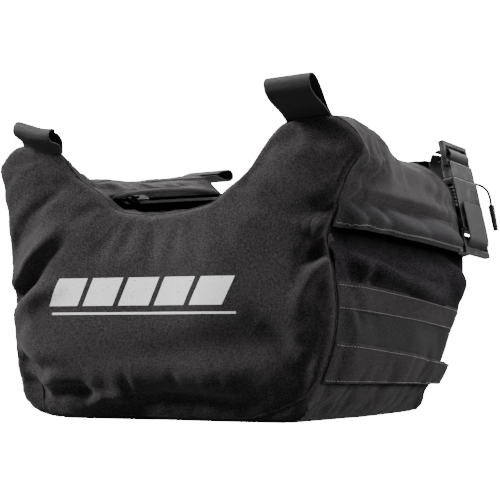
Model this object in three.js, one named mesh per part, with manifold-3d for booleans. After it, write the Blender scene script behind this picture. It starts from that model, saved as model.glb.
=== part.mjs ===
// Saddle-shaped sandbag: a canvas shell over three fill bags, with a zipped trough,
// flapped side pockets, four webbing grab loops and a buckled strap at the back corner.
// Millimetres. +X is the bag's right, +Y its back, +Z up. The origin is the base's centre.
import * as THREE from "three";
import { mergeVertices } from "three/addons/utils/BufferGeometryUtils.js";
import Module from "manifold-3d";

const wasm = await Module();
wasm.setup();

// ---- driving sizes ------------------------------------------------------------------
const HALF_DEPTH = 142;        // side panels run between the front and back panels
const CLOTH = 3;               // padded canvas, as thick as its seams
const GAP = 0.3;               // clearance between pieces that touch
const PANEL_CROWN = 4.5;       // how far the end panels stand proud of their seams
const WEBBING_WIDTH = 50;
const WEBBING_THICK = 1.6;

// Outlines of the bag seen from the front, anticlockwise from the base's left end.
// Each row is one line along the shell: [x, z] at the front, the middle and the back.
const SHELL_LINES = [
  [[-128, 0], [-138, 0], [-126, 0]],
  [[0, 0], [0, 0], [0, 0]],
  [[136, 0], [146, 0], [134, 0]],
  [[161, 22], [171, 20], [150, 22]],
  [[174, 50], [185, 48], [165, 46]],
  [[184, 78], [193, 80], [179, 84]],
  [[188, 110], [197, 112], [190, 112]],
  [[186, 140], [198, 142], [195, 140]],
  [[185, 166], [198, 168], [196, 166]],
  [[188, 200], [197, 200], [191, 200]],
  [[198, 236], [195, 228], [184, 234]],
  [[213, 262], [190, 248], [177, 248]],
  [[206, 283], [181, 267], [166, 259]],
  [[185, 297], [167, 275], [153, 267]],
  [[160, 296], [152, 277], [139, 272]],
  [[138, 294], [135, 274], [127, 274]],
  [[123, 285], [122, 268], [118, 270]],
  [[108, 268], [108, 260], [107, 263]],
  [[95, 252], [95, 250], [94, 251]],
  [[79, 237], [79, 237], [79, 237]],
  [[61, 224], [61, 224], [61, 224]],
  [[47, 216], [47, 216], [47, 216]],
  [[24, 211], [24, 211], [24, 211]],
  [[0, 208], [0, 208], [0, 208]],
  [[-22, 207], [-22, 207], [-22, 207]],
  [[-42, 209], [-42, 209], [-42, 209]],
  [[-60, 213], [-60, 213], [-60, 213]],
  [[-78, 226], [-78, 226], [-78, 226]],
  [[-93, 236.8], [-93, 236.8], [-93, 236.8]],
  [[-107, 247], [-107, 247], [-107, 247]],
  [[-120, 259], [-118, 249], [-118, 257]],
  [[-134, 275], [-132, 253], [-128, 267]],
  [[-158, 280], [-150, 256], [-144, 271]],
  [[-186, 284], [-168, 253], [-160, 266]],
  [[-203, 270], [-184, 246], [-172, 256]],
  [[-208, 256], [-192, 238], [-181, 244]],
  [[-200, 236], [-195, 228], [-187, 230]],
  [[-196, 200], [-198, 200], [-192, 200]],
  [[-194, 166], [-199, 168], [-197, 166]],
  [[-190, 132], [-199, 136], [-195, 134]],
  [[-188, 100], [-197, 104], [-188, 106]],
  [[-189, 72], [-193, 76], [-179, 78]],
  [[-182, 44], [-184, 46], [-164, 44]],
  [[-166, 16], [-170, 18], [-150, 20]],
];
const BASE_RIGHT = 2;          // the line where the base meets the right gusset
const RIGHT_CREST = 15;        // where the right gusset meets the trough panel
const LEFT_CREST = 31;         // where the trough panel meets the left gusset
const RIGHT_WALL = [3, 4, 5, 6, 7, 8, 9, 10, 11];
const LEFT_WALL = [43, 42, 41, 40, 39, 38, 37, 36, 35];
const DEPTH_STEPS = [-1, -0.66, -0.33, 0, 0.33, 0.66, 1];

const bag = new THREE.Group();

// ---- materials ----------------------------------------------------------------------
const finish = (color, roughness, metalness = 0) => (
  new THREE.MeshStandardMaterial({ color, roughness, metalness })
);
const canvas = finish(0x35323a, 0.95);
const pocketCanvas = finish(0x2c2a30, 0.95);
const webbing = finish(0x1d1c20, 0.85);
const zipCloth = finish(0x141416, 0.8);
const darkMetal = finish(0x3a3a3e, 0.4, 0.9);
const buckleNylon = finish(0x26262a, 0.45);
const cordRubber = finish(0x3c3c40, 0.6);
const fillCloth = finish(0x8a8378, 0.9);

// ---- shape helpers ------------------------------------------------------------------
const at3 = (x, y, z) => new THREE.Vector3(x, y, z);
const at2 = (x, y) => new THREE.Vector2(x, y);
const radians = THREE.MathUtils.degToRad;

function toSolid(geometry) {
  const bare = geometry.clone();
  bare.deleteAttribute("normal");
  bare.deleteAttribute("uv");
  const merged = mergeVertices(bare, 1e-4);
  return new wasm.Manifold(new wasm.Mesh({
    numProp: 3,
    vertProperties: new Float32Array(merged.attributes.position.array),
    triVerts: new Uint32Array(merged.index.array),
  }));
}

function toGeometry(solid) {
  const mesh = solid.getMesh();
  const geometry = new THREE.BufferGeometry();
  geometry.setAttribute("position", new THREE.BufferAttribute(mesh.vertProperties, 3));
  geometry.setIndex(new THREE.BufferAttribute(mesh.triVerts, 1));
  geometry.computeVertexNormals();
  return geometry;
}

function addPiece(name, geometry, material, parent = bag) {
  const mesh = new THREE.Mesh(geometry, material);
  mesh.name = name;
  parent.add(mesh);
  return mesh;
}

function box(lowX, highX, lowY, highY, lowZ, highZ) {
  const geometry = new THREE.BoxGeometry(highX - lowX, highY - lowY, highZ - lowZ);
  geometry.translate((lowX + highX) / 2, (lowY + highY) / 2, (lowZ + highZ) / 2);
  return geometry;
}

function extrude(points, depth) {
  const shape = new THREE.Shape(points.map(([x, y]) => at2(x, y)));
  return new THREE.ExtrudeGeometry(shape, { depth, bevelEnabled: false });
}

function signedVolume(geometry) {
  const position = geometry.attributes.position;
  const corner = [at3(0, 0, 0), at3(0, 0, 0), at3(0, 0, 0)];
  let volume = 0;
  for (let i = 0; i < geometry.index.count; i += 3) {
    for (let k = 0; k < 3; k += 1) {
      corner[k].fromBufferAttribute(position, geometry.index.getX(i + k));
    }
    volume += corner[0].dot(corner[1].clone().cross(corner[2])) / 6;
  }
  return volume;
}

// Triangles that close one end ring, all turned the way the ring's points run.
function capTriangles(flatRing) {
  const triangles = THREE.ShapeUtils.triangulateShape(flatRing, []);
  const area = triangles.reduce((sum, corners) => (
    sum + THREE.ShapeUtils.area(corners.map((corner) => flatRing[corner]))
  ), 0);
  const sameTurn = Math.sign(area) === Math.sign(THREE.ShapeUtils.area(flatRing));
  return sameTurn ? triangles : triangles.map(([a, b, c]) => [a, c, b]);
}

// Joins closed rings of equal point count into one closed body. flatten maps a point to
// the two coordinates in which the end rings don't fold over.
function loft(rings, flatten) {
  const count = rings[0].length;
  const positions = rings.flat().flatMap((point) => point.toArray());
  const triangles = [];
  for (let r = 0; r + 1 < rings.length; r += 1) {
    for (let i = 0; i < count; i += 1) {
      const j = (i + 1) % count;
      const [near, far] = [r * count, (r + 1) * count];
      triangles.push([near + i, near + j, far + j], [near + i, far + j, far + i]);
    }
  }
  const lastRing = (rings.length - 1) * count;
  for (const [a, b, c] of capTriangles(rings[0].map(flatten))) {
    triangles.push([a, c, b]);
  }
  for (const [a, b, c] of capTriangles(rings.at(-1).map(flatten))) {
    triangles.push([lastRing + a, lastRing + b, lastRing + c]);
  }
  const geometry = new THREE.BufferGeometry();
  geometry.setAttribute("position", new THREE.Float32BufferAttribute(positions, 3));
  geometry.setIndex(triangles.flat());
  if (signedVolume(geometry) < 0) {
    geometry.setIndex(triangles.flatMap(([a, b, c]) => [a, c, b]));
  }
  geometry.computeVertexNormals();
  return geometry;
}

const frontPlane = (point) => at2(point.x, point.z);

// ---- the shell's cross-sections ---------------------------------------------------------
// depth runs from -1 at the front panel to 1 at the back panel. An ease above 1 keeps a line
// near its middle shape for longer. Each shoulder has its own, towards the front and back:
// the right one keeps its horn's height, and the left one drops at once behind its horn.
const END_EASE = 1.3;
const SHOULDERS = [
  { line: 14.5, span: 7, front: 0.5, back: 0.6 },
  { line: 32.5, span: 6, front: 3.5, back: 1 },
];

function easeAt(line, depth) {
  return SHOULDERS.reduce((ease, shoulder) => {
    const away = Math.min(1, Math.abs(line - shoulder.line) / shoulder.span);
    const target = depth < 0 ? shoulder.front : shoulder.back;
    return ease + (target - END_EASE) * (1 - away * away);
  }, END_EASE);
}

function shellPoint(line, depth) {
  const index = line % SHELL_LINES.length;
  const [front, middle, back] = SHELL_LINES[index];
  const end = depth < 0 ? front : back;
  const weight = Math.abs(depth) ** easeAt(index, depth);
  return at2(
    middle[0] + (end[0] - middle[0]) * weight,
    middle[1] + (end[1] - middle[1]) * weight,
  );
}

// The outward direction of the section at one line: the mean of its two edges' normals.
function shellNormal(line, depth) {
  const count = SHELL_LINES.length;
  const before = shellPoint(line + count - 1, depth);
  const here = shellPoint(line, depth);
  const after = shellPoint(line + 1, depth);
  const first = here.clone().sub(before).normalize();
  const second = after.sub(here).normalize();
  const along = first.add(second).normalize();
  return at2(along.y, -along.x);
}

function sectionPoint(line, depth, outward) {
  const point = shellPoint(line, depth);
  point.addScaledVector(shellNormal(line, depth), outward);
  return at3(point.x, depth * HALF_DEPTH, point.y);
}

// One shell panel: the cloth between two lines, from the front panel to the back one.
function sidePanel(firstLine, lastLine) {
  const rings = DEPTH_STEPS.map((depth) => {
    const outer = [];
    const inner = [];
    for (let line = firstLine; line <= lastLine; line += 1) {
      outer.push(sectionPoint(line, depth, 0));
      inner.push(sectionPoint(line, depth, -CLOTH));
    }
    for (const row of [outer, inner]) {
      const last = row.length - 1;
      const start = row[1].clone().sub(row[0]).setLength(GAP / 2);
      const end = row[last - 1].clone().sub(row[last]).setLength(GAP / 2);
      row[0].add(start);
      row[last].add(end);
    }
    return [...outer, ...inner.reverse()];
  });
  return loft(rings, frontPlane);
}

// The front or back panel: the whole outline, crowned outwards from its seam.
function endPanel(depth) {
  const seamY = depth * (HALF_DEPTH + GAP);
  const shoulderY = seamY + depth * CLOTH;
  const crownY = shoulderY + depth * PANEL_CROWN;
  const ringAt = (y, inset) => SHELL_LINES.map((_, line) => (
    sectionPoint(line, depth, -inset).setY(y)
  ));
  return loft([ringAt(seamY, 0), ringAt(shoulderY, 0), ringAt(crownY, 6)], frontPlane);
}

addPiece("panel_front", endPanel(-1), canvas);
addPiece("panel_back", endPanel(1), canvas);
addPiece("panel_base", sidePanel(0, BASE_RIGHT), canvas);
addPiece("gusset_right", sidePanel(BASE_RIGHT, RIGHT_CREST), canvas);
addPiece("panel_trough", sidePanel(RIGHT_CREST, LEFT_CREST), canvas);
addPiece("gusset_left", sidePanel(LEFT_CREST, SHELL_LINES.length), canvas);

// ---- fill bags ----------------------------------------------------------------------------
const LOBE_EDGE = 72;          // the main fill bag spans the trough's floor
const FILL_INSET = 8;          // the bags lie loosely inside the cloth
function addFillBags() {
  const rings = DEPTH_STEPS.map((depth) => SHELL_LINES.map((_, line) => (
    sectionPoint(line, depth, -FILL_INSET)
  )));
  const whole = toSolid(loft(rings, frontPlane));
  const spans = {
    fill_left: [-300, -LOBE_EDGE - GAP],
    fill_main: [-LOBE_EDGE, LOBE_EDGE],
    fill_right: [LOBE_EDGE + GAP, 300],
  };
  for (const [name, [low, high]] of Object.entries(spans)) {
    const slab = toSolid(box(low, high, -200, 200, -10, 400));
    addPiece(name, toGeometry(whole.intersect(slab)), fillCloth);
  }
}
addFillBags();

// ---- side pockets ---------------------------------------------------------------------------
// Heights of the pockets' seams at the front and back ends; they fall towards the back.
const FLAP_SEAM = [219, 203];
const FLAP_HEM = [190, 169];
const SLIP_TOP = [138, 109];
const SLIP_STITCH = [110, 86];
const BAND_TOP = [80, 52];
const BAND_LOW = [39, 30];
const POCKET_CLOTH = 2;
const FLAP_CLOTH = 2.5;
const FLAP_FLARE = 13;         // the flap's hem stands this far off the gusset
const PATCH_END = 0.97;        // pockets stop just short of the end seams
const PATCH_STEPS = [-PATCH_END, -0.66, -0.33, 0, 0.33, 0.66, PATCH_END];
const SEWN_GAP = 1.5;          // clearance under a sewn edge, where both faces are curved

const seamHeight = ([front, back], depth) => front + (back - front) * (depth + 1) / 2;
const lowered = (seam, drop) => seam.map((height) => height - drop);

// How far the gusset lies from the bag's middle plane at one height.
function gussetReach(side, height, depth) {
  const points = (side > 0 ? RIGHT_WALL : LEFT_WALL).map((line) => shellPoint(line, depth));
  const above = points.findIndex((point) => point.y >= height);
  const [low, high] = [points[above - 1], points[above]];
  const along = (height - low.y) / (high.y - low.y);
  return Math.abs(low.x + (high.x - low.x) * along);
}

// A cloth layer over a gusset, from one sloping seam to a lower one. standOff gives its
// inner face's distance from the gusset, with u = 0 at the top and 1 at the bottom.
function gussetPatch(side, top, bottom, thickness, standOff, rows) {
  const rings = PATCH_STEPS.map((depth) => {
    const outer = [];
    const inner = [];
    for (let row = 0; row <= rows; row += 1) {
      const u = row / rows;
      const highEdge = seamHeight(top, depth);
      const height = highEdge + (seamHeight(bottom, depth) - highEdge) * u;
      const reach = gussetReach(side, height, depth) + standOff(depth, u);
      inner.push(at3(side * reach, depth * HALF_DEPTH, height));
      outer.push(at3(side * (reach + thickness), depth * HALF_DEPTH, height));
    }
    return [...outer, ...inner.reverse()];
  });
  return loft(rings, frontPlane);
}

// 0 at a pocket's front and back edges, which are sewn down, and 1 over its middle.
const sewnEnds = (depth) => Math.min(1, (PATCH_END - Math.abs(depth)) / 0.3);
const pocketBulge = (depth, u) => (
  SEWN_GAP + sewnEnds(depth) * (u < 0.4 ? 5.2 + 8 * u : 8.4 * (1 - u) / 0.6)
);
const flapFlare = (depth, u) => SEWN_GAP + FLAP_FLARE * u * (1 - 0.45 * depth ** 4);
const slipBulge = (depth, u) => SEWN_GAP + 3 * sewnEnds(depth) * Math.sin(Math.PI * u);
const overSlip = (depth) => 3 * sewnEnds(depth) + POCKET_CLOTH + SEWN_GAP + 1;
const bandStandOff = (depth) => overSlip(depth) + Math.max(0, depth - 0.6) * 14;

for (const [word, side] of [["right", 1], ["left", -1]]) {
  addPiece(`flap_${word}`, gussetPatch(
    side, lowered(FLAP_SEAM, 1), FLAP_HEM, FLAP_CLOTH, flapFlare, 4,
  ), canvas);
  addPiece(`pocket_${word}`, gussetPatch(
    side, lowered(FLAP_HEM, -8), lowered(SLIP_TOP, -1), POCKET_CLOTH, pocketBulge, 5,
  ), pocketCanvas);
  addPiece(`slip_pocket_${word}`, gussetPatch(
    side, SLIP_TOP, lowered(BAND_LOW, -1), POCKET_CLOTH, slipBulge, 6,
  ), pocketCanvas);
  addPiece(`slip_hem_${word}`, gussetPatch(
    side, SLIP_TOP, SLIP_STITCH, POCKET_CLOTH, overSlip, 3,
  ), canvas);
  addPiece(`band_${word}`, gussetPatch(
    side, BAND_TOP, BAND_LOW, POCKET_CLOTH, bandStandOff, 6,
  ), canvas);
}

// ---- grab loops ------------------------------------------------------------------------------
// Each loop is a folded webbing ring, sewn into the seam on top of a horn. slope follows
// the horn's top, and lean tips the loop forwards over the front, or backwards if below 0.
const LOOPS = {
  front_right: { at: [158.5, -144.5, 298.8], slope: -3.4, lean: 50, length: 50, belly: 9 },
  front_left: { at: [-154, -144.5, 282], slope: 13, lean: 50, length: 25, belly: 7 },
  back_right: { at: [115, 150.6, 272], slope: -4, lean: -88, length: 42, belly: 8 },
  back_left: { at: [-144, 150.6, 270], slope: -2, lean: -88, length: 42, belly: 7 },
};

// A teardrop from a point at its foot to a round top, as [x, y] points.
function teardrop(foot, top, half) {
  const arc = Array.from({ length: 9 }, (_, i) => {
    const turn = Math.PI * i / 8;
    return [half * Math.cos(turn), top - half + half * Math.sin(turn)];
  });
  return [...arc, [-0.3 * half, foot], [0.3 * half, foot]];
}

function loopGeometry({ length, belly }) {
  const shape = new THREE.Shape(teardrop(0, length, belly).map(([x, y]) => at2(x, y)));
  const inside = teardrop(5, length - WEBBING_THICK, belly - WEBBING_THICK);
  shape.holes.push(new THREE.Path(inside.map(([x, y]) => at2(x, y))));
  const geometry = new THREE.ExtrudeGeometry(shape, {
    depth: WEBBING_WIDTH, bevelEnabled: false,
  });
  // Drawn in x and y and extruded along z: the webbing's width turns to lie along X.
  geometry.translate(0, 0, -WEBBING_WIDTH / 2);
  geometry.rotateX(Math.PI / 2);
  geometry.rotateZ(Math.PI / 2);
  return geometry;
}

for (const [word, loop] of Object.entries(LOOPS)) {
  const mesh = addPiece(`grab_loop_${word}`, loopGeometry(loop), webbing);
  mesh.rotation.set(radians(loop.lean), radians(loop.slope), 0, "YXZ");
  mesh.position.set(...loop.at);
}

// ---- zips ---------------------------------------------------------------------------------------
// Each zip is drawn flat: x across the tape, y along it, z off the cloth.
const TEETH_HALF = 2.6;
const TEETH_TOP = 2.2;
const TAPE_TOP = 1.2;

function zipTape(half, low, high) {
  const profile = [
    [-half, 0], [half, 0], [half, TAPE_TOP], [TEETH_HALF, TAPE_TOP],
    [TEETH_HALF, TEETH_TOP], [-TEETH_HALF, TEETH_TOP], [-TEETH_HALF, TAPE_TOP],
    [-half, TAPE_TOP],
  ];
  const geometry = extrude(profile, high - low);
  geometry.rotateX(Math.PI / 2);
  geometry.translate(0, high, 0);
  return geometry;
}

function zipSlider(half, length, top) {
  const wall = TEETH_HALF + GAP;
  const low = TAPE_TOP + GAP;
  const roof = TEETH_TOP + GAP;
  const profile = [
    [-half, low], [-wall, low], [-wall, roof], [wall, roof], [wall, low], [half, low],
    [half, top], [-half, top],
  ];
  const geometry = extrude(profile, length);
  geometry.rotateX(Math.PI / 2);
  geometry.translate(0, length / 2, 0);
  return geometry;
}

// The main zip lies on the trough's left slope, which is flat between two shell lines.
const SLOPE_FOOT = SHELL_LINES[26][0];
const SLOPE_HEAD = SHELL_LINES[29][0];
const slopeUp = at3(SLOPE_HEAD[0] - SLOPE_FOOT[0], 0, SLOPE_HEAD[1] - SLOPE_FOOT[1]);
slopeUp.normalize();
const MAIN_ZIP_FRONT = { up: 12, y: -120 };
const MAIN_ZIP_BACK = { up: 45, y: 124 };
const MAIN_SLIDER_AT = 16;     // its distance from the zip's front end at rest
const MAIN_TAPE_HALF = 8;
const slopePoint = ({ up, y }) => (
  at3(SLOPE_FOOT[0], y, SLOPE_FOOT[1]).addScaledVector(slopeUp, up)
);
const mainFront = slopePoint(MAIN_ZIP_FRONT);
const mainAlong = slopePoint(MAIN_ZIP_BACK).sub(mainFront);
const MAIN_LENGTH = mainAlong.length();
mainAlong.normalize();
const slopeNormal = at3(0, 1, 0).cross(slopeUp).normalize();
if (slopeNormal.z < 0) {
  slopeNormal.negate();
}
const mainZip = new THREE.Group();
const mainAcross = mainAlong.clone().cross(slopeNormal);
mainZip.quaternion.setFromRotationMatrix(
  new THREE.Matrix4().makeBasis(mainAcross, mainAlong, slopeNormal),
);
mainZip.position.copy(mainFront).addScaledVector(slopeNormal, GAP + 0.2);
bag.add(mainZip);

addPiece("main_zip_tape", zipTape(MAIN_TAPE_HALF, 0, MAIN_LENGTH), zipCloth, mainZip);
for (const [word, low, high] of [["front", -12, -GAP], ["back", GAP, 12]]) {
  const start = word === "back" ? MAIN_LENGTH : 0;
  const stop = box(-MAIN_TAPE_HALF, MAIN_TAPE_HALF, start + low, start + high, 0, 2);
  addPiece(`main_zip_end_${word}`, stop, webbing, mainZip);
}

// The slider carries an arch, and the pull tab's crossbar turns beneath it.
const SLIDER_TOP = 6;
const ARCH_TOP = 11;
const PULL_HEIGHT = 7.8;
const PULL_LENGTH = 28;
function archedSlider() {
  const body = toSolid(zipSlider(4.5, 13, SLIDER_TOP));
  const arch = toSolid(box(-1.2, 1.2, -6, 6, SLIDER_TOP - 0.5, ARCH_TOP));
  const eye = toSolid(box(-2, 2, -3, 3, SLIDER_TOP, ARCH_TOP - 1.4));
  return toGeometry(body.add(arch.subtract(eye)));
}

function pullTab() {
  const outer = toSolid(box(-4, 4, -1.2, PULL_LENGTH, -0.9, 0.9));
  const eye = toSolid(box(-1.8, 1.8, 1, 8.5, -2, 2));
  return toGeometry(outer.subtract(eye));
}
const slider = addPiece("main_zip_slider", archedSlider(), darkMetal, mainZip);
slider.position.set(0, MAIN_SLIDER_AT, 0);
const tab = addPiece("main_zip_pull", pullTab(), darkMetal, mainZip);
tab.position.set(0, MAIN_SLIDER_AT, PULL_HEIGHT);

// The back pocket's zip stands upright near the back panel's right edge.
const BACK_FACE = HALF_DEPTH + GAP + CLOTH + PANEL_CROWN;
const BACK_ZIP_X = 161;
const BACK_ZIP_LOW = 176;
const BACK_ZIP_HIGH = 242;
const BACK_SLIDER_Z = 235;
const backZip = new THREE.Group();
backZip.quaternion.setFromRotationMatrix(
  new THREE.Matrix4().makeBasis(at3(-1, 0, 0), at3(0, 0, 1), at3(0, 1, 0)),
);
backZip.position.set(BACK_ZIP_X, BACK_FACE + GAP, 0);
bag.add(backZip);
addPiece("back_zip_tape", zipTape(6, BACK_ZIP_LOW, BACK_ZIP_HIGH), zipCloth, backZip);
const backSlider = addPiece("back_zip_slider", zipSlider(4.2, 11, 5.4), darkMetal, backZip);
backSlider.position.set(0, BACK_SLIDER_Z, 0);

// ---- cord pull --------------------------------------------------------------------------------
// The cord leaves the back zip's slider, runs back beside the strap and curls over at its
// end, where a moulded grip holds it.
const CORD_DIAMETER = 3;
const CORD_ROUTE = [
  [161, 156.2, 235], [161, 160, 235.2], [160.5, 165.5, 236.8], [159.6, 172, 239.8],
  [159, 179, 243.4], [158.8, 187, 246.4], [159, 195, 248.8], [159.6, 203, 250.6],
  [160.6, 211, 251.8], [162.2, 218.6, 252.4], [164.8, 225.4, 253], [169.8, 231, 253.6],
  [175.6, 235, 252.8], [181, 237.6, 250], [185.2, 239.2, 245.6], [187.6, 240, 240],
  [188.8, 240.4, 234.4], [189.2, 240.6, 229.4],
].map((point) => at3(...point));
const GRIP_END = at3(194.6, 241.4, 200.4);
const GRIP_HALF = 3.6;

function cordGeometry() {
  const sides = Array.from({ length: 8 }, (_, i) => at2(
    CORD_DIAMETER / 2 * Math.cos(Math.PI * i / 4),
    CORD_DIAMETER / 2 * Math.sin(Math.PI * i / 4),
  ));
  return new THREE.ExtrudeGeometry(new THREE.Shape(sides), {
    steps: 24, bevelEnabled: false, extrudePath: new THREE.CatmullRomCurve3(CORD_ROUTE),
  });
}
addPiece("back_zip_cord", cordGeometry(), webbing);

const cordEnd = CORD_ROUTE.at(-1);
const gripAlong = GRIP_END.clone().sub(cordEnd);
const gripGeometry = new THREE.CylinderGeometry(
  GRIP_HALF, GRIP_HALF * 0.8, gripAlong.length() - GAP, 12,
);
const grip = addPiece("back_zip_grip", gripGeometry, cordRubber);
gripAlong.normalize();
grip.quaternion.setFromUnitVectors(at3(0, -1, 0), gripAlong);
grip.position.copy(cordEnd).lerp(GRIP_END, 0.5).addScaledVector(gripAlong, GAP / 2);

// ---- side-release buckle ------------------------------------------------------------------------
// Drawn with x across the webbing, y towards the male half's ladder and z off its face.
const BUCKLE_CENTRE = at3(178, 190, 233);
const BUCKLE_LEAN = 15;        // the top leans towards the bag's left
const BUCKLE_TILT = 5.2;       // the far edge sits lower than the near one
const buckle = new THREE.Group();
const leanTurn = new THREE.Matrix4().makeRotationY(radians(-BUCKLE_LEAN));
const uprightTurn = new THREE.Matrix4().makeBasis(at3(0, 1, 0), at3(0, 0, 1), at3(1, 0, 0));
const tiltTurn = new THREE.Matrix4().makeRotationZ(radians(-BUCKLE_TILT));
buckle.quaternion.setFromRotationMatrix(leanTurn.multiply(uprightTurn).multiply(tiltTurn));
buckle.position.copy(BUCKLE_CENTRE);
bag.add(buckle);

const HALF_END = 65;           // the closed buckle's half length
const FRAME_HALF = 31;
const SLOT_HALF = 26.2;
const BAR_HALF = 3;
const MOUTH = { low: 14, high: 21 };
const CAVITY_HALF = 26.5;
const HOUSING_LOW = -38;
const HOUSING_HALF = 6;

// Slots between the bars: each ladder has an inner and an outer one.
const LADDER_SLOTS = [[40, 47], [52, 60]];

function femaleHalf() {
  let body = toSolid(box(
    -FRAME_HALF, FRAME_HALF, HOUSING_LOW, MOUTH.high, -HOUSING_HALF, HOUSING_HALF,
  ));
  body = body.subtract(toSolid(box(
    -CAVITY_HALF, CAVITY_HALF, HOUSING_LOW + 5, MOUTH.high + 1, -4.2, 4.2,
  )));
  body = body.subtract(toSolid(box(-40, 40, -15, MOUTH.low, -4.6, 4.6)));
  body = body.add(toSolid(box(
    -FRAME_HALF, FRAME_HALF, -HALF_END, HOUSING_LOW + 0.5, -BAR_HALF, BAR_HALF,
  )));
  for (const [near, far] of LADDER_SLOTS) {
    body = body.subtract(toSolid(box(-SLOT_HALF, SLOT_HALF, -far + 1, -near + 1, -9, 9)));
  }
  return toGeometry(body);
}

function maleHalf() {
  let body = toSolid(box(
    -FRAME_HALF, FRAME_HALF, 36, HALF_END, -BAR_HALF, BAR_HALF,
  ));
  body = body.add(toSolid(box(-29, 29, 22.4, 40, -5.5, 5.5)));
  body = body.add(toSolid(box(-4, 4, -5, 23, -3, 3)));
  for (const [near, far] of LADDER_SLOTS) {
    body = body.subtract(toSolid(box(-SLOT_HALF, SLOT_HALF, near, far, -9, 9)));
  }
  return toGeometry(body);
}

// A prong turns about the centre of its round root. Its outer edge slopes out gently to a
// ribbed thumb grip, so the mouth can squeeze it inwards.
const PRONG_PIVOT = [22, 19];
function prong(side) {
  const root = Array.from({ length: 7 }, (_, i) => {
    const turn = Math.PI * i / 6;
    return [PRONG_PIVOT[0] + 3 * Math.cos(turn), PRONG_PIVOT[1] + 3 * Math.sin(turn)];
  });
  const ribs = Array.from({ length: 4 }, (_, i) => {
    const y = 8 - 5 * i;
    const edge = 25.4 + (12 - y) * 0.265;
    return [[edge, y], [edge - 0.7, y - 0.6], [edge - 0.4, y - 2.4], [edge + 0.6, y - 3]];
  }).flat();
  const tip = [[19, -12], [21, -22], [24.5, -22], [26, -14.6], [29.8, -11.5]];
  const outline = [...root, ...tip, ...ribs.reverse(), [25.2, 12]];
  const geometry = extrude(outline, 7);
  geometry.translate(0, 0, -3.5);
  if (side < 0) {
    geometry.rotateY(Math.PI);
  }
  return geometry;
}

addPiece("buckle_female", femaleHalf(), buckleNylon, buckle);
addPiece("buckle_male", maleHalf(), buckleNylon, buckle);
addPiece("buckle_prong_far", prong(1), buckleNylon, buckle);
addPiece("buckle_prong_near", prong(-1), buckleNylon, buckle);

// ---- straps -----------------------------------------------------------------------------------
// A ribbon runs through stations [x, y, z, turn]: turn is the angle of its width direction,
// from upright at 0 to front-to-back at 90.
function ribbon(stations) {
  const centres = stations.map(([x, y, z]) => at3(x, y, z));
  const rings = stations.map(([, , , turn], i) => {
    const before = centres[Math.max(0, i - 1)];
    const after = centres[Math.min(centres.length - 1, i + 1)];
    const heading = after.clone().sub(before).normalize();
    const across = at3(0, Math.sin(radians(turn)), Math.cos(radians(turn)));
    across.addScaledVector(heading, -across.dot(heading)).normalize();
    const face = heading.clone().cross(across);
    return [[-1, -1], [1, -1], [1, 1], [-1, 1]].map(([a, b]) => centres[i].clone()
      .addScaledVector(across, a * WEBBING_WIDTH / 2)
      .addScaledVector(face, b * WEBBING_THICK / 2));
  });
  return stripLoft(rings);
}

function stripLoft(rings) {
  const square = [at2(0, 0), at2(1, 0), at2(1, 1), at2(0, 1)];
  const flat = new Map();
  for (const ring of [rings[0], rings.at(-1)]) {
    ring.forEach((point, i) => flat.set(point, square[i]));
  }
  return loft(rings, (point) => flat.get(point));
}

// Webbing threaded through a ladder, in the buckle's own axes, as [offset off the face, y].
function threaded(route) {
  const rings = route.map(([off, y], i) => {
    const [offBefore, yBefore] = route[Math.max(0, i - 1)];
    const [offAfter, yAfter] = route[Math.min(route.length - 1, i + 1)];
    const heading = at2(offAfter - offBefore, yAfter - yBefore).normalize();
    const side = at2(heading.y, -heading.x).multiplyScalar(WEBBING_THICK / 2);
    const half = WEBBING_WIDTH / 2;
    return [[-1, -1], [1, -1], [1, 1], [-1, 1]].map(([a, b]) => (
      at3(a * half, y + b * side.y, off + b * side.x)
    ));
  });
  return stripLoft(rings);
}

// World place of a point in the buckle's axes, so that the straps meet the ladders.
buckle.updateMatrix();
const onBuckle = (off, y) => at3(0, y, off).applyMatrix4(buckle.matrix);

const UPPER_LOOP = [
  [-12, 56], [-4, 56.4], [1, 56.2], [4.2, 54.6], [5.6, 51.4], [5.6, 47.8], [4.2, 45],
  [1, 43.6], [-4, 43.4], [-10, 43.8],
];
addPiece("upper_strap_loop", threaded(UPPER_LOOP), webbing, buckle);

const LADDER_TURN = 90 + BUCKLE_TILT;
const upperEnd = onBuckle(-13.4, 55.6);
addPiece("upper_strap", ribbon([
  [96, 151, 228, 0], [114, 152.2, 229, 0], [125, 161.5, 232, 20], [132, 171, 238, 46],
  [139, 182, 247, 72], [144, 190, 259, 86], [145.6, upperEnd.y - 1, 271, 90],
  [upperEnd.x - 3, upperEnd.y, upperEnd.z - 5, LADDER_TURN],
  [upperEnd.x, upperEnd.y, upperEnd.z, LADDER_TURN],
]), webbing);

const LOWER_TAIL = [
  [-16, -55.6], [-8, -55.4], [0, -55.2], [4, -54.4], [6.6, -51.8], [7.6, -47.4],
  [8.2, -36], [8.2, -8],
];
addPiece("lower_strap_tail", threaded(LOWER_TAIL), webbing, buckle);

const lowerEnd = onBuckle(-17.2, -55.6);
addPiece("lower_strap", ribbon([
  [88, 151, 160, 0], [112, 152, 160, 0], [122, 158.5, 160.5, 16], [131, 166, 161.5, 38],
  [140, 173.5, 163.4, 60], [150, 180, 166.4, 78], [160, 184, 169.6, 90],
  [lowerEnd.x - 6, lowerEnd.y, lowerEnd.z - 1.7, LADDER_TURN],
  [lowerEnd.x, lowerEnd.y, lowerEnd.z, LADDER_TURN],
]), webbing);

export default bag;
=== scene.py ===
"""A saddle-shaped sandbag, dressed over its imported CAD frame.

Metres. +X is the bag's right, +Y its back, +Z up, and the origin is the base's centre.
"""
import math

import bmesh
import bpy
import numpy as np
from mathutils import Matrix, Vector
from mathutils.bvhtree import BVHTree
from mathutils.kdtree import KDTree


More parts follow.
